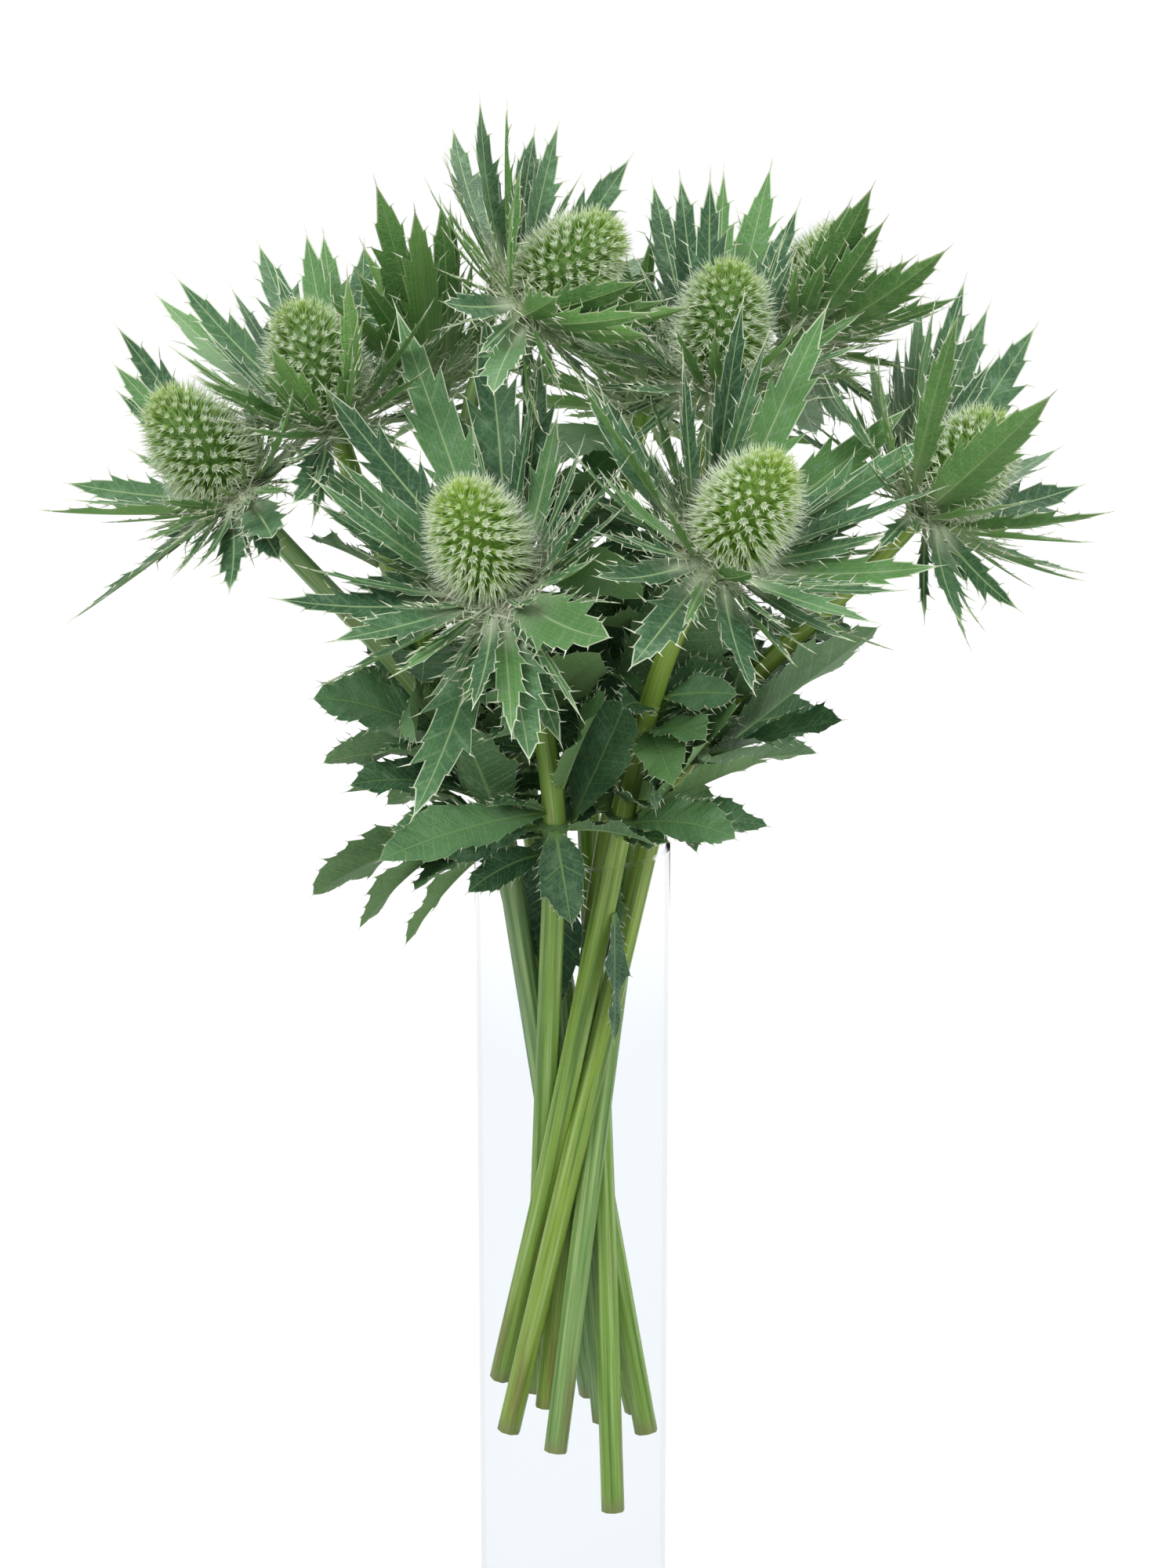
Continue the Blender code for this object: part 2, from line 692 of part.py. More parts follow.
def main():
    clear_scene()
    collection = make_collection("sea_holly_in_glass")
    glass_material = make_material("clear_glass", (0.93, 0.97, 1.0), 0.02, 1.0)
    stem_material = make_material("stem_green", (0.22, 0.40, 0.08), 0.45)
    leaf_material = make_material("leaf_green", (0.04, 0.13, 0.06), 0.5)
    bract_material = make_material("bract_green", (0.10, 0.24, 0.12), 0.5)
    cone_material = make_material("floret_green", (0.38, 0.52, 0.24), 0.7)

    solids = [make_glass(glass_material, collection)]
    for i, stem in enumerate(STEMS):
        number = str(i + 1)
        solids.append(make_stem("stem_" + number, i, stem, stem_material, collection))
        solids.append(make_cone("cone_" + number, stem, i * 0.7, cone_material, collection))
    bpy.context.view_layer.update()

    space = Space([solid_tree(obj) for obj in solids])
    for i, stem in enumerate(STEMS):
        axis = Vector(stem["axis"]).normalized()
        space.add_hub("bracts_" + str(i + 1), hub_tree(Vector(stem["base"]), axis, BRACT_RING))
        place, way = place_on_stem(i, stem, stem["node"])
        space.add_hub("leaves_" + str(i + 1), hub_tree(place, way, leaf_ring_radius(stem)[1]))
    draws = [random.Random(SEED + i) for i in range(len(STEMS))]
    plans = [bract_plans(stem, draw) for stem, draw in zip(STEMS, draws)]
    bracts = [[] for stem in STEMS]
    for filling in (False, True):
        for i, stem in enumerate(STEMS):
            chosen = [k for k, plan in enumerate(plans[i]) if plan[2] == filling]
            name = "bracts_" + str(i + 1)
            bracts[i] += grow_bracts(name, stem, space, draws[i], plans[i], chosen)
    for i, stem in enumerate(STEMS):
        name = "bracts_" + str(i + 1)
        axis = Vector(stem["axis"]).normalized()
        rings = (0, BRACT_RING)
        make_rosette(name, Vector(stem["base"]), axis, bracts[i], rings, bract_material, collection)
        print(name, len(bracts[i]), "of", stem["bracts"])
    for i, stem in enumerate(STEMS):
        draw = random.Random(SEED * 100 + i)
        name = "leaves_" + str(i + 1)
        blades = grow_leaves(name, i, stem, space, draw)
        place, way = place_on_stem(i, stem, stem["node"])
        rings = leaf_ring_radius(stem)
        make_rosette(name, place, way, blades, rings, leaf_material, collection)
        print(name, len(blades), "of", len(stem["leaves"]))


main()
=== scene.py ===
# A bunch of sea holly in a clear glass cylinder: the looks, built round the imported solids.
# Lengths in the dictionaries are millimetres unless a note says otherwise.
import math
import random

import bpy
from mathutils import Matrix, Quaternion, Vector
from mathutils.bvhtree import BVHTree


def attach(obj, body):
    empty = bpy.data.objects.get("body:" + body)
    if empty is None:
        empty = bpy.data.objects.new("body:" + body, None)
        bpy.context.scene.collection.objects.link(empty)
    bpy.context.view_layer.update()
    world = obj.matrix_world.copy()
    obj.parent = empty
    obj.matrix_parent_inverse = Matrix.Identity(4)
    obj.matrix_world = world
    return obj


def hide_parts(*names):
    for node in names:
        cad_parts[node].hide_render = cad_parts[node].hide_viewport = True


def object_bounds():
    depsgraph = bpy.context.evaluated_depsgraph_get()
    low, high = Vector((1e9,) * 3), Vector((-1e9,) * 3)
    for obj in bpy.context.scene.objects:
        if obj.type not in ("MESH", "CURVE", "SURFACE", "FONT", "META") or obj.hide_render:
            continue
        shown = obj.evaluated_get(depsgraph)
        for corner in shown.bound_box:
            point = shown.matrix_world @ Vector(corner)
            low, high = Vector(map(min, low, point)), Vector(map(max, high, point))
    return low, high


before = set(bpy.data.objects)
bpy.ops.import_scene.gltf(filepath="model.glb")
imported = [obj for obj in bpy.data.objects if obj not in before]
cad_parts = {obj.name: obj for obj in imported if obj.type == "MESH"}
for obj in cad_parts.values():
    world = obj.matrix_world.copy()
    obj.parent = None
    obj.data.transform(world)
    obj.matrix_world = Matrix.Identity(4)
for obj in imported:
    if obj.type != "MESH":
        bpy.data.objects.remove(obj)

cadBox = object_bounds()
mm = 0.001
up = Vector((0, 0, 1))
level = (Vector((1, 0, 0)), Vector((0, 1, 0)), up)


# Node trees

class Wire:
    # A socket of a node tree. An expression on it adds the Math nodes.
    def __init__(self, desk, socket):
        self.desk = desk
        self.socket = socket

    def math(self, operation, *others):
        values = dict(enumerate((self, *others)))
        return self.desk.node("ShaderNodeMath", {"operation": operation}, values)

    def mirrored(self, operation, other):
        return self.desk.node("ShaderNodeMath", {"operation": operation}, {0: other, 1: self})

    def __add__(self, other):
        return self.math("ADD", other)

    def __sub__(self, other):
        return self.math("SUBTRACT", other)

    def __mul__(self, other):
        return self.math("MULTIPLY", other)

    def __truediv__(self, other):
        return self.math("DIVIDE", other)

    def __pow__(self, other):
        return self.math("POWER", other)

    def __rsub__(self, other):
        return self.mirrored("SUBTRACT", other)

    def __rtruediv__(self, other):
        return self.mirrored("DIVIDE", other)

    __radd__ = __add__
    __rmul__ = __mul__

    def also(self, out):
        # Another output of the same node.
        return Wire(self.desk, self.desk.find(self.socket.node.outputs, out))


class Desk:
    # A node tree that takes a node by its type, its settings and then what goes into its sockets.
    def __init__(self, tree):
        self.tree = tree

    def find(self, sockets, key):
        if isinstance(key, int):
            return sockets[key]
        return next(socket for socket in sockets if socket.enabled and socket.name == key)

    def feed(self, node, values):
        for key, value in values.items():
            socket = self.find(node.inputs, key)
            for one in value if isinstance(value, list) else [value]:
                if isinstance(one, Wire):
                    self.tree.links.new(one.socket, socket)
                elif socket.type == "RGBA":
                    socket.default_value = (*one[:3], 1)
                else:
                    socket.default_value = one

    def node(self, kind, settings=None, values=None, out=0):
        made = self.tree.nodes.new(kind)
        for name, value in (settings or {}).items():
            if name == "stops":
                self.setStops(made.color_ramp, value)
            else:
                setattr(made, name, value)
        self.feed(made, values or {})
        return Wire(self, self.find(made.outputs, out))

    def setStops(self, ramp, stops):
        while len(ramp.elements) > 1:
            ramp.elements.remove(ramp.elements[-1])
        for i, (place, tone) in enumerate(stops):
            element = ramp.elements[0] if i == 0 else ramp.elements.new(place)
            element.position = place
            element.color = (*tone, 1)

    def mix(self, first, second, factor):
        settings = {"data_type": "RGBA", "clamp_factor": True}
        return self.node("ShaderNodeMix", settings, {0: factor, 6: first, 7: second}, out=2)

    def step(self, value, low, high):
        settings = {"interpolation_type": "SMOOTHSTEP"}
        values = {"Value": value, "From Min": low, "From Max": high}
        return self.node("ShaderNodeMapRange", settings, values)

    def attribute(self, name, out="Fac"):
        return self.node("ShaderNodeAttribute", {"attribute_name": name}, out=out)

    def parts(self, vector):
        split = self.node("ShaderNodeSeparateXYZ", None, {0: vector})
        return split, split.also(1), split.also(2)

    def joined(self, x, y, z):
        return self.node("ShaderNodeCombineXYZ", None, {0: x, 1: y, 2: z})

    def objectPlace(self):
        return self.node("ShaderNodeTexCoord", out="Object")

    def noise(self, place, scale, detail=2.0, rough=0.5):
        values = {"Vector": place, "Scale": scale, "Detail": detail, "Roughness": rough}
        return self.node("ShaderNodeTexNoise", None, values)

    def bump(self, height, strength, distance):
        values = {"Height": height, "Strength": strength, "Distance": distance}
        return self.node("ShaderNodeBump", None, values)

    def plus(self, first, second):
        return self.node("ShaderNodeVectorMath", {"operation": "ADD"}, {0: first, 1: second})

    def scaled(self, vector, factor):
        return self.node("ShaderNodeVectorMath", {"operation": "SCALE"}, {0: vector, "Scale": factor})

    def stored(self, geometry, name, value, kind="FLOAT"):
        values = {"Geometry": geometry, "Name": name, "Value": value}
        return self.node("GeometryNodeStoreNamedAttribute", {"data_type": kind, "domain": "POINT"}, values)

    def chance(self, low, high, seed):
        # A random vector for each point between two vectors, or a random number between two numbers.
        if isinstance(low, tuple):
            values = {0: low, 1: high, 8: seed}
            return self.node("FunctionNodeRandomValue", {"data_type": "FLOAT_VECTOR"}, values)
        values = {2: low, 3: high, 8: seed}
        return self.node("FunctionNodeRandomValue", {"data_type": "FLOAT"}, values, out=1)

    def alongZ(self, way):
        # The rotation that turns Z this way.
        return self.node("FunctionNodeAlignRotationToVector", {"axis": "Z"}, {"Vector": way})

    def needle(self, sides, radius, point, length):
        return self.node("GeometryNodeMeshCone", None, {
            "Vertices": sides, "Side Segments": 1, "Fill Segments": 1, "Radius Top": point,
            "Radius Bottom": radius, "Depth": length,
        })

    def copiesAt(self, points, piece, rotation, scale):
        values = {"Points": points, "Instance": piece, "Rotation": rotation, "Scale": scale}
        return self.node("GeometryNodeInstanceOnPoints", None, values)

    def skinned(self, geometry, skin):
        whole = self.node("GeometryNodeRealizeInstances", None, {"Geometry": geometry})
        return self.node("GeometryNodeSetMaterial", None, {"Geometry": whole, "Material": skin})


def newMaterial(name, fixed):
    # A material with its shader's constant values set, and the desk and shader to finish it with.
    material = bpy.data.materials.new(name)
    material.use_nodes = True
    desk = Desk(material.node_tree)
    shader = material.node_tree.nodes["Principled BSDF"]
    desk.feed(shader, fixed)
    return material, desk, shader


def newTree(name, inputs):
    # A Geometry Nodes tree with named inputs. It gives the tree's desk and a wire for each input.
    tree = bpy.data.node_groups.new(name, "GeometryNodeTree")
    tree.interface.new_socket("Geometry", in_out="INPUT", socket_type="NodeSocketGeometry")
    for label, kind, value in inputs:
        socket = tree.interface.new_socket(label, in_out="INPUT", socket_type="NodeSocket" + kind)
        if value is not None:
            socket.default_value = value
    tree.interface.new_socket("Geometry", in_out="OUTPUT", socket_type="NodeSocketGeometry")
    desk = Desk(tree)
    first = desk.node("NodeGroupInput")
    wires = {label: first.also(label) for label, kind, value in inputs}
    wires["Geometry"] = first
    return desk, wires


def endAt(desk, result):
    last = desk.tree.nodes.new("NodeGroupOutput")
    desk.tree.links.new(result.socket, last.inputs[0])


def runTree(obj, desk, inputs, name):
    # Puts the tree on the object, turns what it makes into a plain mesh object and removes the first one.
    modifier = obj.modifiers.new("Nodes", "NODES")
    modifier.node_group = desk.tree
    for item in desk.tree.interface.items_tree:
        if item.in_out == "INPUT" and item.name in inputs:
            modifier[item.identifier] = inputs[item.name]
    graph = bpy.context.evaluated_depsgraph_get()
    mesh = bpy.data.meshes.new_from_object(
        obj.evaluated_get(graph), preserve_all_data_layers=True, depsgraph=graph
    )
    obj.modifiers.remove(modifier)
    bpy.data.objects.remove(obj)
    mesh.name = name
    return addObject(name, mesh)


def addObject(name, data):
    obj = bpy.data.objects.new(name, data)
    bpy.context.scene.collection.objects.link(obj)
    return obj


def standsFor(obj, node):
    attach(obj, "root")
    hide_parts(node)


# A heap gathers the points and faces of one piece. spots holds three numbers a point: the way from the
# midrib, the way from the margin, and the share of the length. An entry of spines is its start, its way,
# its length and its radius.

bareSpot = (9.0, 9.0, 0.5)  # far from a midrib and from a margin


def numbered(kind, index):
    return kind + "_" + str(index + 1)


def wayRound(sides, angle):
    return sides[0] * math.cos(angle) + sides[1] * math.sin(angle)


class Heap:
    def __init__(self):
        self.points = []
        self.faces = []
        self.finishes = []
        self.spots = []
        self.veins = []
        self.tones = []
        self.spines = []
        self.tone = 0.5

    def point(self, place, spot=bareSpot, vein=0.0):
        self.points.append(place)
        self.spots.append(spot)
        self.veins.append(vein)
        self.tones.append(self.tone)
        return len(self.points) - 1

    def face(self, corners, finish=0):
        self.faces.append(corners)
        self.finishes.append(finish)

    def lathe(self, profile, count, place=Vector(), sides=level, spot=bareSpot, finish=0):
        # Turns (radius, height) pairs round the third of the sides, from its lower pole to its upper one.
        rings = []
        for radius, height in profile:
            middle = place + sides[2] * height
            if radius <= 0:
                rings.append([self.point(middle, spot)] * count)
                continue
            ring = []
            for k in range(count):
                around = wayRound(sides, 2 * math.pi * k / count)
                ring.append(self.point(middle + around * radius, spot))
            rings.append(ring)
        for low, high in zip(rings, rings[1:]):
            for k in range(count):
                j = (k + 1) % count
                corners = []
                for corner in (low[k], low[j], high[j], high[k]):
                    if corner not in corners:
                        corners.append(corner)
                if len(corners) > 2:
                    self.face(tuple(corners), finish)

    def mesh(self, name, materials, angle=50):
        spots = self.spots + [(9.0, 9.0, 1.0)] * len(self.spines)
        veins = self.veins + [0.0] * len(self.spines)
        tones = self.tones + [0.5] * len(self.spines)
        points = self.points + [spine[0] for spine in self.spines]
        mesh = bpy.data.meshes.new(name)
        mesh.from_pydata([point * mm for point in points], [], self.faces)
        mesh.polygons.foreach_set("material_index", self.finishes)
        mesh.polygons.foreach_set("use_smooth", [True] * len(self.faces))
        mesh.set_sharp_from_angle(angle=math.radians(angle))
        for material in materials:
            mesh.materials.append(material)
        bare = len(self.points)
        ways = [(0.0, 0.0, 0.0)] * bare + [tuple(spine[1]) for spine in self.spines]
        sizes = [(0.0, 0.0, 0.0)] * bare
        sizes += [(spine[3] * mm, spine[3] * mm, spine[2] * mm) for spine in self.spines]
        for label, kind, values in (
            ("bladeSpot", "FLOAT_VECTOR", spots),
            ("spineWay", "FLOAT_VECTOR", ways),
            ("spineSize", "FLOAT_VECTOR", sizes),
            ("bladeVein", "FLOAT", veins),
            ("bladeTone", "FLOAT", tones),
        ):
            layer = mesh.attributes.new(label, kind, "POINT")
            if kind == "FLOAT":
                layer.data.foreach_set("value", values)
            else:
                layer.data.foreach_set("vector", [x for value in values for x in value])
        return mesh


# The bunch, with the values and the order of work of the part's source, so that each blade comes out
# where its solid is.

stemShape = {
    "radius": 3.1, "innerRadius": 2.55, "taper": 0.18, "taperRun": 100, "neck": 4,
    "waistHeight": 174, "waistRing": 8.95, "turnSlope": 0.232, "turnAngle": 68, "cutOffset": 22.2,
    "steps": (3, 3, 5), "gap": 0.3, "bladeThickness": 0.7,
    "middle": {
        2: {"waist": (0, 2.7), "cut": (9, 7), "rim": (-5, 4)},
        3: {"waist": (0, -2.7), "cut": (-9, -8), "rim": (10, -2)},
    },
}
glassShape = {
    "height": 267, "radius": 30, "floor": 8, "footRound": 1.5, "innerRound": 4, "segments": 128,
}
bractShape = {
    "ring": 8.5, "apart": 18, "rootHalfAngle": 14, "length": 54, "slimness": 0.108, "longest": 92,
    "widths": (1.0, 0.75, 0.55), "spreads": (64, 57, 71, 50, 78, 44, 85, 93, 38, 102), "rootGap": 0.75,
    "shrinks": (1, 0.93, 0.86), "tries": 30, "spread": (46, 80), "swing": (-14, 14), "unlike": (0.9, 1.1),
    "unlikeLength": (0.8, 1.12), "shorter": 100, "steep": 0.3, "bend": (0.03, 0.12), "twist": (-30, 30),
    "outline": (
        (0.22, 0.48, 0.54), (0.44, 1.00, 0.62), (0.53, 0.62, 1.04), (0.68, 0.84, 0.52),
        (0.77, 0.42, 0.64),
    ),
}
leafShape = {
    "ring": 2.2, "rootHalfAngle": 20, "apart": 50, "twist": (25, 65), "slimness": 0.27, "tries": 60,
    "wander": (1, 1.5, 1), "wanderStep": 0.35, "bend": (0.08, 0.2), "outBend": 0.08, "unlike": (0.9, 1.1),
    "thinner": 150,
    "outline": (
        (0.14, 0.42, 0.50), (0.31, 1.00, 0.76), (0.42, 0.78, 1.02), (0.56, 0.98, 0.70),
        (0.68, 0.62, 0.88), (0.82, 0.60, 0.40),
    ),
}
clearance = {"seed": 11, "leafSeed": 1100, "pushes": 120, "margin": 0.25, "fineMargin": -0.05, "hub": 12}
sight = {"place": Vector((5, -938, 528)), "pitch": math.radians(14.5), "lens": 73.0}
sight["right"] = Vector((1, 0, 0))
sight["up"] = Vector((0, math.sin(sight["pitch"]), math.cos(sight["pitch"])))

# base is the foot of a cone, axis the way it points, exit the azimuth where its stem leaves the glass,
# cut the height of the stem's lower end, seen the bract tips as the photo sees them, node the height of
# the leaf whorl and leaves the tips of its leaves.
stems = (
    {
        "base": (-21, -47, 356), "axis": (-0.30, -0.43, 0.85), "exit": -102, "cut": 76, "bracts": 17,
        "seen": ((-29, 79), (-4, 79), (12, 67), (-50, 57), (-59, 40), (-46, 36), (-14, 53), (17, 48),
                 (-63, -4), (-47, -16), (-24, -66), (9, -50), (18, -45), (32, -15), (28, 8)),
        "node": 280, "leaves": ((-42, -42, 275), (0, -38, 252), (24, -46, 279), (16, -34, 319)),
    },
    {
        "base": (42, -44, 364), "axis": (0.47, -0.32, 0.82), "exit": -57, "cut": 87, "bracts": 17,
        "seen": ((-41, 52), (7, 73), (31, 71), (54, 42), (63, 35), (63, 19), (63, -3), (-11, 43),
                 (44, -19), (37, -24), (10, -39), (-25, -32), (-35, -6), (-33, 23)),
        "node": 281, "leaves": ((48, -40, 279), (58, -24, 299), (48, -40, 319), (8, -30, 339)),
    },
    {
        "base": (-13, 3, 429), "axis": (0.72, 0.02, 0.69), "exit": None, "cut": 71, "bracts": 14,
        "seen": ((-14, 61), (-6, 59), (2, 52), (9, 54, 1), (30, 44, 1), (-22, 53), (39, 17),
                 (39, -7), (9, -20), (-25, 2)),
        "node": 299, "leaves": ((-40, -12, 345), (16, 10, 357), (-16, 46, 333), (-52, 20, 323)),
    },
    {
        "base": (43, 5, 408), "axis": (0.10, -0.25, 0.96), "exit": None, "cut": 83, "bracts": 14,
        "seen": ((-19, 58), (-11, 60), (-2, 60), (16, 63), (24, 51), (23, 37)),
        "node": 301, "leaves": ((10, -30, 349), (40, -24, 353), (52, 34, 339), (66, -8, 333)),
    },
    {
        "base": (-70, -6, 397), "axis": (-0.30, 0.05, 0.95), "exit": 168, "cut": 72, "bracts": 13,
        "seen": ((-22, 52), (-8, 55), (9, 52), (-46, 42), (-52, 37), (-40, 12)),
        "node": 291, "leaves": ((-76, 0, 317), (-72, 20, 291), (-60, -28, 310), (-34, -26, 349),
                                (-70, 34, 331)),
    },
    {
        "base": (-99, -8, 377), "axis": (-0.60, -0.10, 0.79), "exit": -147, "cut": 73, "bracts": 13,
        "seen": ((-35, 48), (-36, 37), (-50, 2), (-30, 11), (-25, -12), (-18, -25), (-2, -30),
                 (15, -24)),
        "node": 279, "leaves": ((-78, -20, 256), (-63, -34, 250), (-68, -12, 286), (-34, -44, 317)),
    },
    {
        "base": (105, 0, 370), "axis": (0.65, 0.02, 0.76), "exit": -12, "cut": 77, "bracts": 14,
        "seen": ((37, -46), (-1, 62), (12, 68), (19, 60), (33, 54), (38, 34), (47, 7), (27, -11),
                 (30, -22), (13, -40)),
        "node": 299, "leaves": ((92, 0, 334), (80, -24, 311), (60, 16, 337), (62, -36, 289),
                                (86, 24, 315)),
    },
    {
        "base": (69, 43, 418), "axis": (0.45, 0.35, 0.82), "exit": 33, "cut": 75, "bracts": 11,
        "seen": ((16, 39), (23, 44), (35, 22), (46, 25)),
        "node": 283, "leaves": ((66, 44, 317), (47, 6, 271), (76, 24, 289), (30, 58, 327),
                                (52, 62, 289)),
    },
    {
        "base": (-43, 48, 401), "axis": (-0.35, 0.40, 0.85), "exit": 123, "cut": 73, "bracts": 11,
        "seen": ((-18, 62), (2, 56), (-13, 50)),
        "node": 281, "leaves": ((-48, 62, 319), (-66, 48, 289), (-26, 80, 285), (-8, 56, 333),
                                (-58, 22, 273)),
    },
    {
        "base": (23, 71, 393), "axis": (0.20, 0.50, 0.84), "exit": 78, "cut": 53, "bracts": 11,
        "seen": (),
        "node": 289, "leaves": ((22, 84, 323), (-10, 86, 293), (46, 74, 291), (34, 52, 333)),
    },
)


def onCircle(radius, azimuth, height=0.0):
    return Vector((radius * math.cos(azimuth), radius * math.sin(azimuth), height))


def hermite(start, leave, end, arrive, t):
    a = 2 * t**3 - 3 * t**2 + 1
    b = t**3 - 2 * t**2 + t
    c = -2 * t**3 + 3 * t**2
    d = t**3 - t**2
    return start * a + leave * b + end * c + arrive * d


def nodeTree(name):
    # The solid of a node in millimetres, for the clearance tests.
    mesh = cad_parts[name].data
    points = [vertex.co / mm for vertex in mesh.vertices]
    return BVHTree.FromPolygons(points, [tuple(polygon.vertices) for polygon in mesh.polygons])


def stemKeys(index, stem):
    # The four points that a stem curves through, and its way at each of them.
    base = Vector(stem["base"])
    axis = Vector(stem["axis"]).normalized()
    low = stemShape["waistHeight"]
    if stem["exit"] is None:
        middle = stemShape["middle"][index]
        cut = Vector((*middle["cut"], stem["cut"]))
        waist = Vector((*middle["waist"], low))
        rim = Vector((*middle["rim"], glassShape["height"]))
        waistWay = (rim - cut).normalized()
        rimWay = ((rim - waist).normalized() + (base - rim).normalized()).normalized()
    else:
        outward = onCircle(1, math.radians(stem["exit"] - stemShape["turnAngle"]))
        sideways = Vector((-outward.y, outward.x, 0))
        slope = stemShape["turnSlope"]
        waist = outward * stemShape["waistRing"] + up * low
        rim = waist + (sideways * slope + up) * (glassShape["height"] - low)
        cut = outward * stemShape["waistRing"] - sideways * stemShape["cutOffset"] + up * stem["cut"]
        waistWay = (sideways * slope + up).normalized()
        rimWay = waistWay
    top = base - axis * (stemShape["bladeThickness"] / 2 + stemShape["gap"] + stemShape["neck"])
    return (cut, waist, rim, top), ((waist - cut).normalized(), waistWay, rimWay, axis)


def stemLine(index, stem, allSteps):
    keys, ways = stemKeys(index, stem)
    points = [keys[0]]
    for i, steps in enumerate(allSteps):
        reach = (keys[i + 1] - keys[i]).length
        for step in range(1, steps + 1):
            t = step / steps
            points.append(hermite(keys[i], ways[i] * reach, keys[i + 1], ways[i + 1] * reach, t))
    points.append(keys[-1] + ways[-1] * stemShape["neck"])
    return points


def stemRadius(stem, height):
    full = stemShape["innerRadius"] if stem["exit"] is None else stemShape["radius"]
    share = min(max((height - glassShape["height"]) / stemShape["taperRun"], 0), 1)
    return full * (1 - stemShape["taper"] * share)


def placeOnStem(index, stem, height):
    line = stemLine(index, stem, stemShape["steps"])
    for low, high in zip(line, line[1:]):
        if low.z <= height <= high.z:
            share = (height - low.z) / (high.z - low.z)
            return low.lerp(high, share), (high - low).normalized()
    raise ValueError("no stem at this height")


def bladePlace(blade, share):
    # The midrib's place, its way along, and the way to the blade's left.
    root, middle, tip = blade["root"], blade["middle"], blade["tip"]
    place = root * (1 - share) ** 2 + middle * 2 * share * (1 - share) + tip * share**2
    along = ((middle - root) * (1 - share) + (tip - middle) * share).normalized()
    across = blade["across"]
    side = (across - along * across.dot(along)).normalized()
    side.rotate(Quaternion(along, blade["twist"] * math.sqrt(share)))
    return place, along, side


def makeBlade(root, tip, bend, across, twist, around, outline, widths):
    # A blade by its midrib, with the rows of its solid's corners. around is the way out of the stem and
    # widths its half width at the root and the greatest one.
    rootHalfWidth, halfWidth = widths
    blade = {
        "root": root, "middle": root.lerp(tip, 0.5) + bend, "tip": tip, "across": across.normalized(),
        "twist": twist, "around": around, "rootHalfWidth": rootHalfWidth, "halfWidth": halfWidth, "rows": [],
    }
    rows = [(share, left * halfWidth, right * halfWidth) for share, left, right in outline]
    for share, left, right in [(0.0, rootHalfWidth, rootHalfWidth)] + rows:
        place, along, side = bladePlace(blade, share)
        blade["rows"].append((place + side * left, place - side * right, side.cross(along)))
    return blade


def bladeTree(blade, first, margin):
    # The closed outside of a blade's solid from this row on, a little larger than it is.
    half = stemShape["bladeThickness"] / 2 + margin
    points = []
    for left, right, normal in blade["rows"][first:]:
        side = (left - right).normalized() * margin
        for place in (left + side, right - side):
            points.append(place + normal * half)
            points.append(place - normal * half)
    normal = blade["rows"][-1][2]
    points.append(blade["tip"] + normal * half)
    points.append(blade["tip"] - normal * half)
    faces = [(0, 2, 3, 1)]
    last = len(points) - 6
    for i in range(0, last, 4):
        for a, b in ((0, 2), (1, 3), (0, 1), (2, 3)):
            faces.append((i + a, i + b, i + b + 4))
            faces.append((i + a, i + b + 4, i + a + 4))
    top, bottom = len(points) - 2, len(points) - 1
    faces += [(last, last + 2, top), (last + 1, last + 3, bottom)]
    faces += [(last, last + 1, bottom, top), (last + 2, last + 3, bottom, top)]
    return BVHTree.FromPolygons(points, faces)


def hubTree(place, axis, radius):
    # The disc or ring that the blades of a rosette grow from, as a flat drum.
    sides = axisFrame(axis)
    half = axis * (stemShape["bladeThickness"] / 2 + clearance["margin"])
    count = clearance["hub"]
    points = []
    for i in range(count):
        rim = place + wayRound(sides, 2 * math.pi * i / count) * (radius + clearance["margin"])
        points += [rim + half, rim - half]
    faces = [tuple(range(0, 2 * count, 2)), tuple(range(1, 2 * count, 2))]
    for i in range(count):
        k = (i + 1) % count
        faces.append((2 * i, 2 * i + 1, 2 * k + 1, 2 * k))
    return BVHTree.FromPolygons(points, faces)


class Space:
    # What stands so far, so that a new blade can be tried against it.
    def __init__(self, solids):
        self.solids = solids
        self.blades = []

    def isFree(self, blade, owner, margin="margin"):
        whole = bladeTree(blade, 0, clearance[margin])
        outer = bladeTree(blade, 1, clearance[margin])
        if any(whole.overlap(tree) for tree in self.solids):
            return False
        for other, otherWhole, otherOuter in self.blades:
            if other == owner:
                if otherOuter is not None and outer.overlap(otherOuter):
                    return False
            elif whole.overlap(otherWhole):
                return False
        self.blades.append((owner, whole, outer))
        return True


def sightedPoint(stem, aim, spread, isNear=False):
    # On the line of sight through aim, the nearest point at this angle from the cone's axis, the one that
    # stands in front, or the far one for a bract behind the cone.
    base = Vector(stem["base"])
    axis = Vector(stem["axis"]).normalized()
    seen = base + sight["right"] * aim[0] + sight["up"] * aim[1]
    line = (seen - sight["place"]).normalized()
    offset = seen - base
    square = math.cos(math.radians(spread)) ** 2
    a = line.dot(axis) ** 2 - square
    b = 2 * (line.dot(axis) * offset.dot(axis) - square * line.dot(offset))
    c = offset.dot(axis) ** 2 - square * offset.dot(offset)
    under = b * b - 4 * a * c
    if under < 0 or abs(a) < 1e-6:
        return None
    found = []
    for step in [(-b + sign * math.sqrt(under)) / (2 * a) for sign in (1, -1)]:
        point = seen + line * step
        rising = (point - base).dot(axis) * math.cos(math.radians(spread)) >= 0
        if rising and (point - base).length < bractShape["longest"]:
            rank = step if isNear else abs(step)
            found.append((rank if len(aim) == 2 else -step, point))
    return min(found, key=lambda item: item[0])[1] if found else None


def axisFrame(axis):
    turn = axis.to_track_quat("Z", "Y")
    return turn @ Vector((1, 0, 0)), turn @ Vector((0, 1, 0))


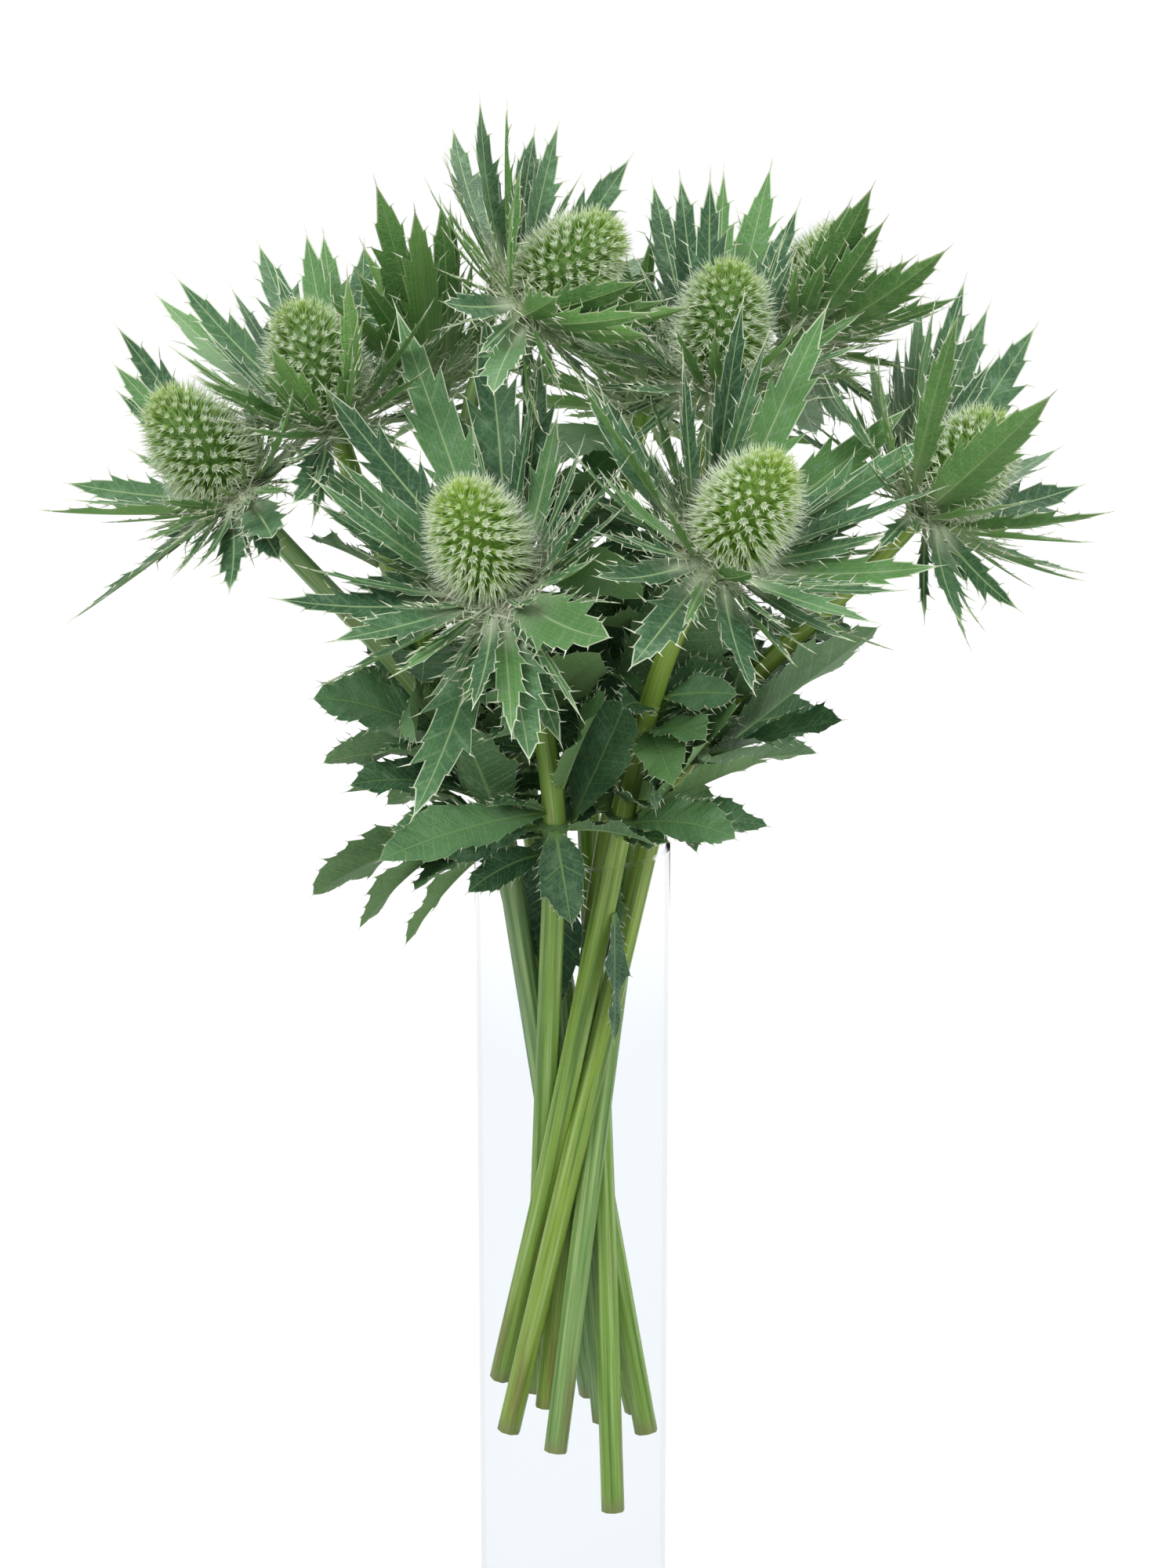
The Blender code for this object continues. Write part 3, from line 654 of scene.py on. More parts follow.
def seatOf(stem):
    # The foot of a stem's cone, the way the cone points and two ways across it.
    axis = Vector(stem["axis"]).normalized()
    return Vector(stem["base"]), axis, axisFrame(axis)


def azimuthOf(offset, sides):
    return math.atan2(offset.dot(sides[1]), offset.dot(sides[0]))


def widestGapMiddle(azimuths):
    if not azimuths:
        return 0.0
    ordered = sorted(azimuths)
    gaps = [(b - a, a) for a, b in zip(ordered, ordered[1:] + [ordered[0] + 2 * math.pi])]
    size, start = max(gaps)
    return start + size / 2


def slotsFor(azimuths, apart):
    # Places round the ring, pushed away from each other until they are this far apart, each with the
    # free angle to its nearest neighbour.
    full = 2 * math.pi
    count = len(azimuths)
    order = sorted(range(count), key=lambda i: azimuths[i] % full)
    places = [azimuths[i] % full for i in order]

    def stepAfter(k):
        return places[k + 1] - places[k] if k + 1 < count else places[0] + full - places[k]

    for _ in range(clearance["pushes"]):
        for k in range(count):
            lack = apart - stepAfter(k)
            if lack > 0:
                places[k] -= lack / 2
                places[(k + 1) % count] += lack / 2
    slots = [None] * count
    for k, i in enumerate(order):
        slots[i] = (places[k], min(stepAfter(k), stepAfter((k - 1) % count)))
    return slots


def bractPlans(stem, draw):
    # For each bract its azimuth, the tips to try, best first, and whether it only fills a gap.
    base, axis, sides = seatOf(stem)
    plans = []
    for aim in stem["seen"]:
        tips = []
        for shrink in bractShape["shrinks"]:
            for spread in bractShape["spreads"]:
                tip = sightedPoint(stem, (aim[0] * shrink, aim[1] * shrink, *aim[2:]), spread)
                if tip is not None:
                    tips.append(tip)
        if tips:
            plans.append((azimuthOf(tips[0] - base, sides), tips, False))
    while len(plans) < stem["bracts"]:
        azimuth = widestGapMiddle([plan[0] for plan in plans])
        tips = []
        for attempt in range(bractShape["tries"]):
            spread = math.radians(draw.uniform(*bractShape["spread"]))
            swing = azimuth + math.radians(draw.uniform(*bractShape["swing"]))
            way = wayRound(sides, swing) * math.sin(spread) + axis * math.cos(spread)
            length = bractShape["length"] * draw.uniform(*bractShape["unlikeLength"])
            tips.append(base + way * (length * (1 - attempt / bractShape["shorter"])))
        plans.append((azimuth, tips, True))
    return plans


def growBracts(owner, stem, space, draw, plans, chosen):
    base, axis, sides = seatOf(stem)
    ring = bractShape["ring"]
    slots = slotsFor([plan[0] for plan in plans], math.radians(bractShape["apart"]))
    blades = []
    for k in chosen:
        slot, free = slots[k]
        spare = free / 2 - bractShape["rootGap"] / ring / 2
        halfAngle = min(spare, math.radians(bractShape["rootHalfAngle"]))
        around = wayRound(sides, slot)
        root = base + around * ring
        for tip, width in [(tip, width) for width in bractShape["widths"] for tip in plans[k][1]]:
            reach = (tip - root).length
            across = axis.cross(tip - root)
            if across.length < bractShape["steep"] * reach:
                across = axis.cross(around)
            bend = axis * -reach * draw.uniform(*bractShape["bend"])
            halfWidth = reach * bractShape["slimness"] * width * draw.uniform(*bractShape["unlike"])
            twist = math.radians(draw.uniform(*bractShape["twist"]))
            widths = (ring * math.sin(halfAngle), halfWidth)
            blade = makeBlade(root, tip, bend, across, twist, around, bractShape["outline"], widths)
            if space.isFree(blade, owner):
                blades.append(blade)
                break
    return blades


def growLeaves(owner, index, stem, space, draw):
    place, way = placeOnStem(index, stem, stem["node"])
    sides = axisFrame(way)
    ring = leafRing(stem)[1]
    rootHalfWidth = ring * math.sin(math.radians(leafShape["rootHalfAngle"]))
    targets = [Vector(tip) for tip in stem["leaves"]]
    wanted = [azimuthOf(tip - place, sides) for tip in targets]
    slots = slotsFor(wanted, math.radians(leafShape["apart"]))
    blades = []
    for (slot, free), target in zip(slots, targets):
        around = wayRound(sides, slot)
        root = place + around * ring
        for attempt in range(leafShape["tries"]):
            shift = Vector([draw.gauss(0, size) for size in leafShape["wander"]]) * attempt
            tip = target + shift * leafShape["wanderStep"]
            reach = (tip - root).length
            across = way.cross(tip - root)
            bend = up * reach * draw.uniform(*leafShape["bend"]) + around * reach * leafShape["outBend"]
            halfWidth = reach * leafShape["slimness"] * draw.uniform(*leafShape["unlike"])
            halfWidth *= 1 - attempt / leafShape["thinner"]
            twist = math.radians(draw.uniform(*leafShape["twist"]) * draw.choice((-1, 1)))
            widths = (rootHalfWidth, halfWidth)
            blade = makeBlade(root, tip, bend, across, twist, around, leafShape["outline"], widths)
            if space.isFree(blade, owner):
                blades.append(blade)
                break
    return blades


def leafRing(stem):
    spread = math.cos(math.radians(leafShape["rootHalfAngle"]))
    inner = (stemRadius(stem, stem["node"]) + stemShape["gap"]) / spread
    return inner, inner + leafShape["ring"]


def placeBlades():
    names = [numbered(kind, i) for i in range(len(stems)) for kind in ("stem", "cone")]
    space = Space([nodeTree(name) for name in ["bottle"] + names])
    for i, stem in enumerate(stems):
        base, axis, sides = seatOf(stem)
        space.blades.append((numbered("bracts", i), hubTree(base, axis, bractShape["ring"]), None))
        place, way = placeOnStem(i, stem, stem["node"])
        space.blades.append((numbered("leaves", i), hubTree(place, way, leafRing(stem)[1]), None))
    draws = [random.Random(clearance["seed"] + i) for i in range(len(stems))]
    plans = [bractPlans(stem, draw) for stem, draw in zip(stems, draws)]
    bracts = [[] for stem in stems]
    for filling in (False, True):
        for i, stem in enumerate(stems):
            chosen = [k for k, plan in enumerate(plans[i]) if plan[2] == filling]
            bracts[i] += growBracts(numbered("bracts", i), stem, space, draws[i], plans[i], chosen)
    leaves = []
    for i, stem in enumerate(stems):
        draw = random.Random(clearance["leafSeed"] + i)
        leaves.append(growLeaves(numbered("leaves", i), i, stem, space, draw))
    return space, bracts, leaves


# Between the blades that have solids stand finer ones, each tried against all the rest in the same way.
# bracts gives for each its tip as the photo sees it from the cone's foot, its width as a share of the
# widest, and 1 where it stands in front or 2 where it is also turned to the camera. open gives what of the
# cone is in plain sight: its middle from the cone's foot, its half width and its half height. leaves gives
# for each its tip, how far its root is above the whorl, and its slimness.

between = (
    {
        "open": ((-9, 15, 13, 16),),
        "bracts": (
            (-55, 5, 0.7, 0), (-40, 10, 0.5, 0), (-37, 20, 0.5, 0), (-25, -20, 0.5, 0), (-30, -26, 0.5, 0),
            (-7, -35, 0.5, 0), (13, -19, 0.8, 1), (24, -38, 0.4, 1), (1, 55, 0.5, 0), (-7, 45, 0.5, 0),
            (-16, -30, 0.5, 0), (33, -5, 0.4, 0), (23, 24, 0.5, 0), (4, -43, 0.6, 1), (17, 48, 0.7, 0),
            (11, 60, 0.7, 0), (28, 30, 0.6, 0), (24, 40, 0.6, 0), (-57, 38, 0.8, 0), (-52, 30, 0.8, 0),
            (-48, 22, 0.7, 0), (30, 14, 0.5, 0),
        ),
        "leaves": (
            (-39, -46, 279, -4, 0.3), (10, -46, 323, 12, 0.32), (-25, -40, 293, 6, 0.28),
            (-30, -30, 303, 24, 0.28), (-46, -30, 300, 20, 0.32), (-52, -24, 286, 4, 0.22),
            (-34, -52, 268, -10, 0.32), (-58, -26, 270, 2, 0.26), (-24, -48, 256, -16, 0.3),
        ),
    },
    {
        "open": ((11, 14, 13, 15),),
        "bracts": (
            (-7, 39, 0.5, 0), (-2, 47, 0.5, 0), (3, 41, 0.5, 0), (-21, 33, 0.5, 0), (14, 63, 0.6, 0),
            (41, 24, 0.5, 0), (52, 8, 0.5, 0), (50, 2, 0.4, 0), (43, -8, 0.5, 0), (19, -20, 0.5, 0),
            (-10, -20, 0.5, 1), (-28, 6, 0.5, 0), (32, 15, 0.5, 0), (26, -27, 0.5, 0), (1, -25, 0.5, 1),
            (-38, 50, 1.0, 1), (-34, 40, 0.8, 0), (-30, 22, 0.7, 1), (-42, 30, 0.7, 0), (-20, 48, 0.8, 0),
            (-12, 30, 0.6, 0), (44, 12, 0.8, 2),
        ),
        "leaves": (
            (54, -24, 302, 6, 0.28), (35, -34, 292, 0, 0.28), (29, -40, 277, -6, 0.26),
            (65, -20, 313, 26, 0.26), (47, -24, 284, -2, 0.3), (24, 4, 222, -26, 0.22),
            (22, -6, 228, -22, 0.22), (20, 8, 216, -30, 0.2),
        ),
    },
    {
        "open": ((15, 15, 9, 8),),
        "bracts": (
            (15, 38, 0.7, 0), (17, 31, 0.7, 0), (-10, 46, 0.6, 0), (-19, 33, 0.5, 0), (-24, 22, 0.6, 0),
            (-25, 11, 0.6, 0), (-17, -6, 0.5, 0), (-14, -13, 0.5, 0), (-6, -21, 0.5, 0), (4, -35, 0.5, 1),
            (20, -24, 0.6, 0), (30, -17, 0.7, 1), (-26, -6, 0.5, 0), (38, 11, 0.7, 0), (37, -1, 0.6, 1),
            (33, 8, 1.0, 1), (36, -8, 1.0, 1), (10, -25, 0.8, 2), (18, -22, 0.8, 2), (-10, -25, 0.7, 2),
            (0, -30, 0.7, 2),
        ),
        "leaves": (
            (-21, -4, 301, 24, 0.3), (-2, 0, 310, 36, 0.3), (-31, 0, 315, 40, 0.3), (10, 20, 372, 66, 0.32),
            (22, 24, 362, 58, 0.32), (-6, 14, 366, 60, 0.32), (4, 30, 350, 48, 0.32),
            (16, 4, 352, 50, 0.32), (-9, 10, 220, -28, 0.24), (-14, 6, 226, -22, 0.24),
        ),
    },
    {
        "open": ((3, 17, 10, 13),),
        "bracts": (
            (2, 62, 0.7, 0), (20, 43, 0.7, 0), (-16, 50, 0.6, 0), (-8, 43, 0.7, 0), (31, 4, 0.6, 0),
            (-26, -7, 0.6, 0), (-15, -18, 0.5, 0), (12, -22, 0.5, 1), (18, 24, 0.5, 0), (-18, 20, 0.6, 0),
            (22, -13, 0.5, 0), (-8, -25, 0.5, 0), (-23, 34, 0.6, 0), (-34, -12, 0.8, 2), (-28, -20, 0.8, 2),
            (-38, -2, 0.7, 2),
        ),
        "leaves": (
            (29, 6, 318, 34, 0.3), (41, 0, 310, 24, 0.3), (12, -8, 307, 20, 0.3), (24, 8, 332, 50, 0.3),
            (34, 22, 366, 60, 0.32), (12, 24, 352, 52, 0.32), (20, 12, 378, 70, 0.32),
            (6, 16, 366, 62, 0.32),
        ),
    },
    {
        "open": ((-7, 22, 7, 11),),
        "bracts": (
            (-30, 39, 0.9, 0), (-43, 18, 0.6, 0), (-3, 55, 0.8, 0), (-17, 44, 0.8, 0), (17, 43, 0.8, 0),
            (-38, 27, 0.7, 0), (-29, -2, 0.6, 1), (-22, 16, 0.5, 1), (-15, -12, 0.6, 1), (22, 13, 0.5, 0),
            (4, 43, 0.8, 1), (-35, 9, 0.8, 1), (13, -14, 0.5, 0), (-6, -19, 0.5, 0), (-53, -7, 0.8, 1),
            (-62, 17, 0.8, 1), (-39, 12, 1.0, 1), (-45, -43, 1.1, 1), (-30, -28, 0.7, 0), (-6, -29, 0.9, 2),
            (-12, -24, 0.8, 2), (4, -33, 0.8, 2), (23, -8, 0.8, 2), (18, -3, 0.8, 2), (26, -16, 0.7, 2),
        ),
        "leaves": (
            (-60, 4, 322, 34, 0.32), (-54, -6, 311, 22, 0.32), (-44, -16, 293, 8, 0.3),
            (-40, 0, 320, 44, 0.3), (-64, -2, 300, 10, 0.34), (-56, 14, 284, -2, 0.34),
            (-48, -20, 306, 20, 0.34), (-78, -4, 362, 64, 0.34), (-66, -10, 372, 68, 0.32),
            (-72, 4, 376, 74, 0.32), (-72, -4, 308, 26, 0.34),
        ),
    },
    {
        "open": ((-15, 22, 6, 8),),
        "bracts": (
            (-25, 14, 0.9, 1), (-35, 29, 0.7, 0), (-16, 30, 0.6, 1), (-48, -3, 0.6, 0), (-12, -23, 0.6, 0),
            (9, -27, 0.6, 0), (21, -17, 0.6, 0), (23, -3, 0.5, 0), (21, 10, 0.7, 1), (5, 24, 0.6, 0),
            (-23, -3, 0.7, 1), (17, 15, 0.6, 0), (-22, -18, 0.6, 0), (-31, -3, 0.6, 1), (28, 4, 0.6, 0),
            (-32, 35, 0.9, 1), (-17, -23, 1.1, 1), (-2, -28, 0.8, 0), (12, -16, 0.9, 2), (5, -22, 0.8, 2),
            (18, -27, 0.8, 2), (-30, -24, 0.9, 2),
        ),
        "leaves": (
            (-74, -16, 314, 26, 0.34), (-64, -26, 310, 18, 0.32), (-66, -24, 291, 8, 0.32),
            (-62, -34, 286, 0, 0.32), (-52, -42, 275, -4, 0.3), (-70, -10, 300, 20, 0.34),
            (-56, -28, 268, -6, 0.36), (-60, -8, 276, 2, 0.34), (-46, -36, 262, -8, 0.34),
            (-74, -24, 252, -4, 0.34), (-64, -32, 250, -8, 0.34), (-78, -20, 262, 0, 0.34),
        ),
    },
    {
        "open": ((11, 16, 8, 8),),
        "bracts": (
            (12, 68, 0.9, 0), (-8, 49, 0.7, 0), (3, 61, 0.7, 0), (-16, 45, 0.6, 0), (26, 34, 0.8, 0),
            (25, 21, 0.7, 1), (37, -46, 1, 0), (13, -40, 0.7, 0), (17, -35, 0.4, 0), (29, 2, 0.7, 1),
            (14, 47, 0.8, 1), (6, 35, 0.8, 1), (-7, 21, 0.7, 1), (-18, 6, 0.5, 0), (-14, -12, 0.5, 0),
            (26, -16, 0.6, 0), (5, -21, 0.5, 1), (0, -33, 0.5, 0), (36, 30, 0.9, 1), (36, -44, 1.2, 2),
            (28, -30, 0.9, 2), (20, 44, 0.9, 0), (30, 26, 0.9, 0), (24, 10, 0.9, 1), (-9, 36, 0.7, 0),
            (40, 18, 0.9, 0), (-22, 26, 0.6, 0), (7, 52, 0.9, 0), (20, -38, 0.8, 2),
        ),
        "leaves": (
            (56, -4, 289, 6, 0.3), (54, -10, 281, 0, 0.3), (88, 6, 323, 34, 0.28), (76, 0, 315, 26, 0.28),
            (64, -10, 300, 14, 0.28),
        ),
    },
    {
        "open": (),
        "bracts": (
            (6, 30, 0.7, 0), (19, 30, 0.8, 0), (9, 34, 0.7, 0), (21, 13, 0.7, 1), (32, 5, 0.8, 1),
            (2, 22, 0.8, 1), (17, 21, 0.6, 1), (11, -11, 0.6, 0), (20, -16, 0.6, 0), (26, -4, 0.7, 0),
            (-16, -11, 0.5, 0), (32, 18, 0.7, 0), (32, -11, 0.6, 0), (40, 20, 0.9, 0), (27, 34, 0.8, 0),
            (13, -22, 0.9, 2), (6, -32, 0.9, 2), (20, -14, 0.8, 2), (17, -29, 0.8, 2), (28, -24, 0.8, 2),
            (36, 12, 0.8, 1), (-10, 34, 0.7, 0), (24, -22, 0.6, 0),
        ),
        "leaves": (
            (41, 10, 293, 16, 0.3), (56, 20, 310, 36, 0.28), (75, 24, 324, 48, 0.26),
            (70, 20, 372, 74, 0.3), (62, 30, 366, 68, 0.3),
        ),
    },
    {
        "open": (),
        "bracts": (
            (-13, 52, 0.9, 0), (-6, 54, 0.8, 0), (5, 54, 0.9, 0), (-3, 39, 0.7, 1), (-24, 35, 0.8, 0),
            (12, 39, 0.8, 0), (16, 29, 0.7, 0), (21, 15, 0.6, 0), (-18, 17, 0.6, 1), (12, -17, 0.6, 0),
            (2, -27, 0.5, 0), (-13, -17, 0.5, 0), (9, 12, 0.7, 1), (-8, 22, 0.7, 1), (24, -2, 0.6, 0),
            (-40, 46, 1.0, 1), (-22, 43, 0.9, 1), (-32, 26, 0.8, 0), (-28, 8, 0.7, 0), (-30, -8, 0.6, 0),
        ),
        "leaves": (
            (-51, 24, 297, 24, 0.3), (-41, 16, 279, 4, 0.3), (-27, 30, 308, 40, 0.3),
            (-56, 34, 312, 40, 0.3),
        ),
    },
    {
        "open": (),
        "bracts": (
            (18, 69, 0.9, 0), (-6, 45, 0.8, 0), (-16, 33, 0.8, 0), (-22, 20, 0.8, 0), (12, 38, 0.7, 0),
            (-25, -5, 0.6, 0), (-13, -22, 0.5, 0), (9, -20, 0.5, 0), (21, -12, 0.5, 0), (-11, 13, 0.7, 1),
            (7, 20, 0.8, 1), (-30, 8, 0.7, 0), (27, 20, 0.7, 0),
        ),
        "leaves": (
            (3, 40, 285, 20, 0.3), (17, 36, 276, 8, 0.3), (32, 40, 293, 30, 0.3), (-7, 44, 305, 40, 0.3),
            (4, 44, 372, 88, 0.32), (-6, 40, 360, 78, 0.32), (14, 50, 356, 76, 0.32),
            (-12, 34, 378, 94, 0.3),
        ),
    },
)
fillShape = {
    "seed": 900, "pastBox": 1, "coneReach": 18, "ownWidth": 0.5,
    "lookedAt": (0.1, 0.25, 0.4, 0.55, 0.7, 0.85, 0.97),
    "root": 1.1, "bend": (0.02, 0.10), "twist": (-35, 35), "bractDrop": (0.2, 2.4),
    "aimSpreads": (66, 57, 74, 50, 82, 44, 92, 102, 36, 114, 126), "aimShrinks": (1, 0.94, 0.88),
    "aimSwing": 14, "aimUnlike": (0.95, 1.1),
    "bracts": 12, "bractTries": 22, "bractSwing": (-0.4, 0.4), "bractSpread": (38, 100),
    "bractLength": (30, 54), "bractShorter": 40, "bractSlimness": (0.080, 0.115),
    "leafOut": 0.7, "leafBend": (0.06, 0.2), "leafWander": (0.5, 1.2, 0.5), "leafThinner": 60,
    "leaves": 11, "leafTries": 26, "leafAbove": (-6, 40), "leafLength": (26, 48), "leafShorter": 45,
    "leafRise": (-35, 45), "leafSlimness": (0.25, 0.33), "leafTwist": (5, 55), "leafRoot": 1.2,
}


def fits(space, blade, owner):
    # Whether a fine blade stays in the box of the solids, leaves the open cones in sight and touches
    # nothing.
    least, most = [Vector(corner) / mm for corner in cadBox]
    past = fillShape["pastBox"]
    if any(not least[k] - past < blade["tip"][k] < most[k] + past for k in range(3)):
        return False
    facing = sight["right"].cross(sight["up"])
    own = blade["halfWidth"] * fillShape["ownWidth"]
    for stem, more in zip(stems, between):
        seat, axis, sides = seatOf(stem)
        reach = (seat + axis * fillShape["coneReach"] - sight["place"]).length
        ahead = seat - sight["place"]
        for right, high, wide, tall in more["open"]:
            for share in fillShape["lookedAt"]:
                line = bladePlace(blade, share)[0] - sight["place"]
                if line.length > reach:
                    continue
                offset = line * (ahead.dot(facing) / line.dot(facing)) - ahead
                x = (offset.dot(sight["right"]) - right) / (wide + own)
                y = (offset.dot(sight["up"]) - high) / (tall + own)
                if x * x + y * y < 1:
                    return False
    return space.isFree(blade, owner, "fineMargin")


def fineBract(stem, root, tip, around, halfWidth, draw, isFacing=False):
    axis = Vector(stem["axis"]).normalized()
    reach = (tip - root).length
    across = axis.cross(tip - root)
    if isFacing:
        across = (sight["place"] - tip).cross(tip - root)
    elif across.length < bractShape["steep"] * reach:
        across = axis.cross(around)
    bend = axis * -reach * draw.uniform(*fillShape["bend"])
    twist = math.radians(draw.uniform(*fillShape["twist"]))
    widths = (fillShape["root"], halfWidth)
    return makeBlade(root, tip, bend, across, twist, around, bractShape["outline"], widths)


def aimedBracts(owner, stem, aims, space, draw):
    base, axis, sides = seatOf(stem)
    blades = []
    for right, high, width, side in aims:
        spreads = fillShape["aimSpreads"]
        for shrink, spread in [(a, b) for a in fillShape["aimShrinks"] for b in spreads]:
            tip = sightedPoint(stem, (right * shrink, high * shrink), spread, side > 0)
            if tip is None:
                continue
            swing = math.radians(draw.uniform(-1, 1) * fillShape["aimSwing"])
            around = wayRound(sides, azimuthOf(tip - base, sides) + swing)
            root = base + around * bractShape["ring"] - axis * draw.uniform(*fillShape["bractDrop"])
            halfWidth = (tip - root).length * bractShape["slimness"] * width
            halfWidth *= draw.uniform(*fillShape["aimUnlike"])
            blade = fineBract(stem, root, tip, around, halfWidth, draw, side == 2)
            if fits(space, blade, owner):
                blades.append(blade)
                break
    return blades


def fillBracts(owner, stem, space, draw):
    base, axis, sides = seatOf(stem)
    count = fillShape["bracts"]
    blades = []
    for k in range(count):
        for attempt in range(fillShape["bractTries"]):
            around = wayRound(sides, 2 * math.pi * (k + draw.uniform(*fillShape["bractSwing"])) / count)
            root = base + around * bractShape["ring"] - axis * draw.uniform(*fillShape["bractDrop"])
            spread = math.radians(draw.uniform(*fillShape["bractSpread"]))
            reach = draw.uniform(*fillShape["bractLength"]) * (1 - attempt / fillShape["bractShorter"])
            tip = root + (around * math.sin(spread) + axis * math.cos(spread)) * reach
            halfWidth = reach * draw.uniform(*fillShape["bractSlimness"])
            blade = fineBract(stem, root, tip, around, halfWidth, draw)
            if fits(space, blade, owner):
                blades.append(blade)
                break
    return blades


def fineLeaf(index, stem, space, draw, height, wish):
    # A leaf from the stem at this height, if there is room for it. wish gives its tip and slimness from its
    # root, the stem's way there and the count of the tries before.
    place, way = placeOnStem(index, stem, height)
    for attempt in range(fillShape["leafTries"]):
        tip, slimness = wish(place, way, attempt)
        around = tip - place
        around = (around - way * around.dot(way)).normalized()
        root = place + around * (stemRadius(stem, height) + fillShape["leafOut"])
        reach = (tip - root).length
        bend = up * reach * draw.uniform(*fillShape["leafBend"])
        twist = math.radians(draw.uniform(*fillShape["leafTwist"]) * draw.choice((-1, 1)))
        across = way.cross(tip - root)
        widths = (fillShape["leafRoot"], reach * slimness)
        blade = makeBlade(root, tip, bend, across, twist, around, leafShape["outline"], widths)
        if fits(space, blade, "fine"):
            return [blade]
    return []


def aimedLeaves(index, stem, aims, space, draw):
    blades = []
    for x, y, z, above, slimness in aims:
        def wish(place, way, attempt):
            shift = Vector([draw.gauss(0, size) for size in fillShape["leafWander"]]) * attempt
            return Vector((x, y, z)) + shift, slimness * (1 - attempt / fillShape["leafThinner"])
        blades += fineLeaf(index, stem, space, draw, stem["node"] + above, wish)
    return blades


def fillLeaves(index, stem, space, draw):
    blades = []

    def wish(place, way, attempt):
        azimuth, rise = draw.uniform(0, 2 * math.pi), math.radians(draw.uniform(*fillShape["leafRise"]))
        around = wayRound(axisFrame(way), azimuth)
        reach = draw.uniform(*fillShape["leafLength"]) * (1 - attempt / fillShape["leafShorter"])
        tip = place + (around * math.cos(rise) + way * math.sin(rise)) * reach
        return tip, draw.uniform(*fillShape["leafSlimness"])

    for _ in range(fillShape["leaves"]):
        height = stem["node"] + draw.uniform(*fillShape["leafAbove"])
        blades += fineLeaf(index, stem, space, draw, height, wish)
    return blades


def placeFilling(space):
    draws = [random.Random(fillShape["seed"] + i) for i in range(len(stems))]
    fineBracts, fineLeaves = [], []
    for i, (stem, more) in enumerate(zip(stems, between)):
        fineBracts.append(aimedBracts(numbered("bracts", i), stem, more["bracts"], space, draws[i]))
        fineLeaves.append(aimedLeaves(i, stem, more["leaves"], space, draws[i]))
    print("aimed", sum(map(len, fineBracts)), "bracts and", sum(map(len, fineLeaves)), "leaves")
    for i, stem in enumerate(stems):
        fineLeaves[i] += fillLeaves(i, stem, space, draws[i])
        fineBracts[i] += fillBracts(numbered("bracts", i), stem, space, draws[i])
    return fineBracts, fineLeaves


space, bracts, leaves = placeBlades()
print("placed", sum(map(len, bracts)), "bracts and", sum(map(len, leaves)), "leaves")
fineBracts, fineLeaves = placeFilling(space)
print("between them", sum(map(len, fineBracts)), "bracts and", sum(map(len, fineLeaves)), "leaves")


# The glass

glassLook = {
    "wall": 1.5, "tint": (0.900, 0.922, 0.938), "clear": (0.965, 0.978, 0.988), "ior": 1.035,
    "smear": 0.01, "haze": 0.035, "wave": 0.02, "tintFrom": 0.262, "tintFull": 0.215, "lip": 0.8,
    "lipFrom": 0.2656, "lipFull": 0.2662, "levels": (0.1, 0.3, 0.5, 0.7, 0.9), "cloudScale": 18.0,
    "waveScale": 9.0, "tintWander": 0.03, "waveDepth": 0.002,
}


def arc(middle, radius, start, end, steps):
    points = []
    for i in range(steps + 1):
        angle = math.radians(start + (end - start) * i / steps)
        points.append((middle[0] + radius * math.cos(angle), middle[1] + radius * math.sin(angle)))
    return points


def makeGlass():
    outer, height = glassShape["radius"], glassShape["height"]
    inner = outer - glassLook["wall"]
    foot, hollow, lip = glassShape["footRound"], glassShape["innerRound"], glassLook["wall"] / 2
    profile = [(0, 0), ((outer - foot) / 2, 0)]
    profile += arc((outer - foot, foot), foot, -90, 0, 5)
    profile += [(outer, height * share) for share in glassLook["levels"]]
    profile += arc((outer - lip, height - lip), lip, 0, 180, 10)
    profile += [(inner, height * share) for share in reversed(glassLook["levels"])]
    profile += arc((inner - hollow, glassShape["floor"] + hollow), hollow, 0, -90, 8)
    profile += [((inner - hollow) / 2, glassShape["floor"]), (0, glassShape["floor"])]
    heap = Heap()
    heap.lathe(profile, glassShape["segments"])
    return addObject("clearCylinder", heap.mesh("clearCylinder", [glassMaterial()]))


def glassMaterial():
    fixed = {"Transmission Weight": 1.0, "IOR": glassLook["ior"], "Metallic": 0.0}
    material, desk, shader = newMaterial("clearGlass", fixed)
    place = desk.objectPlace()
    cloud = desk.noise(place, glassLook["cloudScale"], 3.0)
    wave = desk.noise(place, glassLook["waveScale"], 1.0)
    height = desk.parts(place)[2]
    tinted = height + cloud * glassLook["tintWander"]
    deep = desk.step(tinted * -1, -glassLook["tintFrom"], -glassLook["tintFull"])
    tint = desk.mix(glassLook["clear"], glassLook["tint"], deep)
    smear = desk.step(cloud, 0.55, 0.8) * glassLook["smear"] + (1 - deep) * glassLook["haze"]
    lip = desk.step(height, glassLook["lipFrom"], glassLook["lipFull"])
    desk.feed(shader, {
        "Base Color": tint,
        "Roughness": smear + lip * glassLook["lip"],
        "Normal": desk.bump(wave, glassLook["wave"], glassLook["waveDepth"]),
    })
    return material


standsFor(makeGlass(), "bottle")
print("glass made")


# The stems

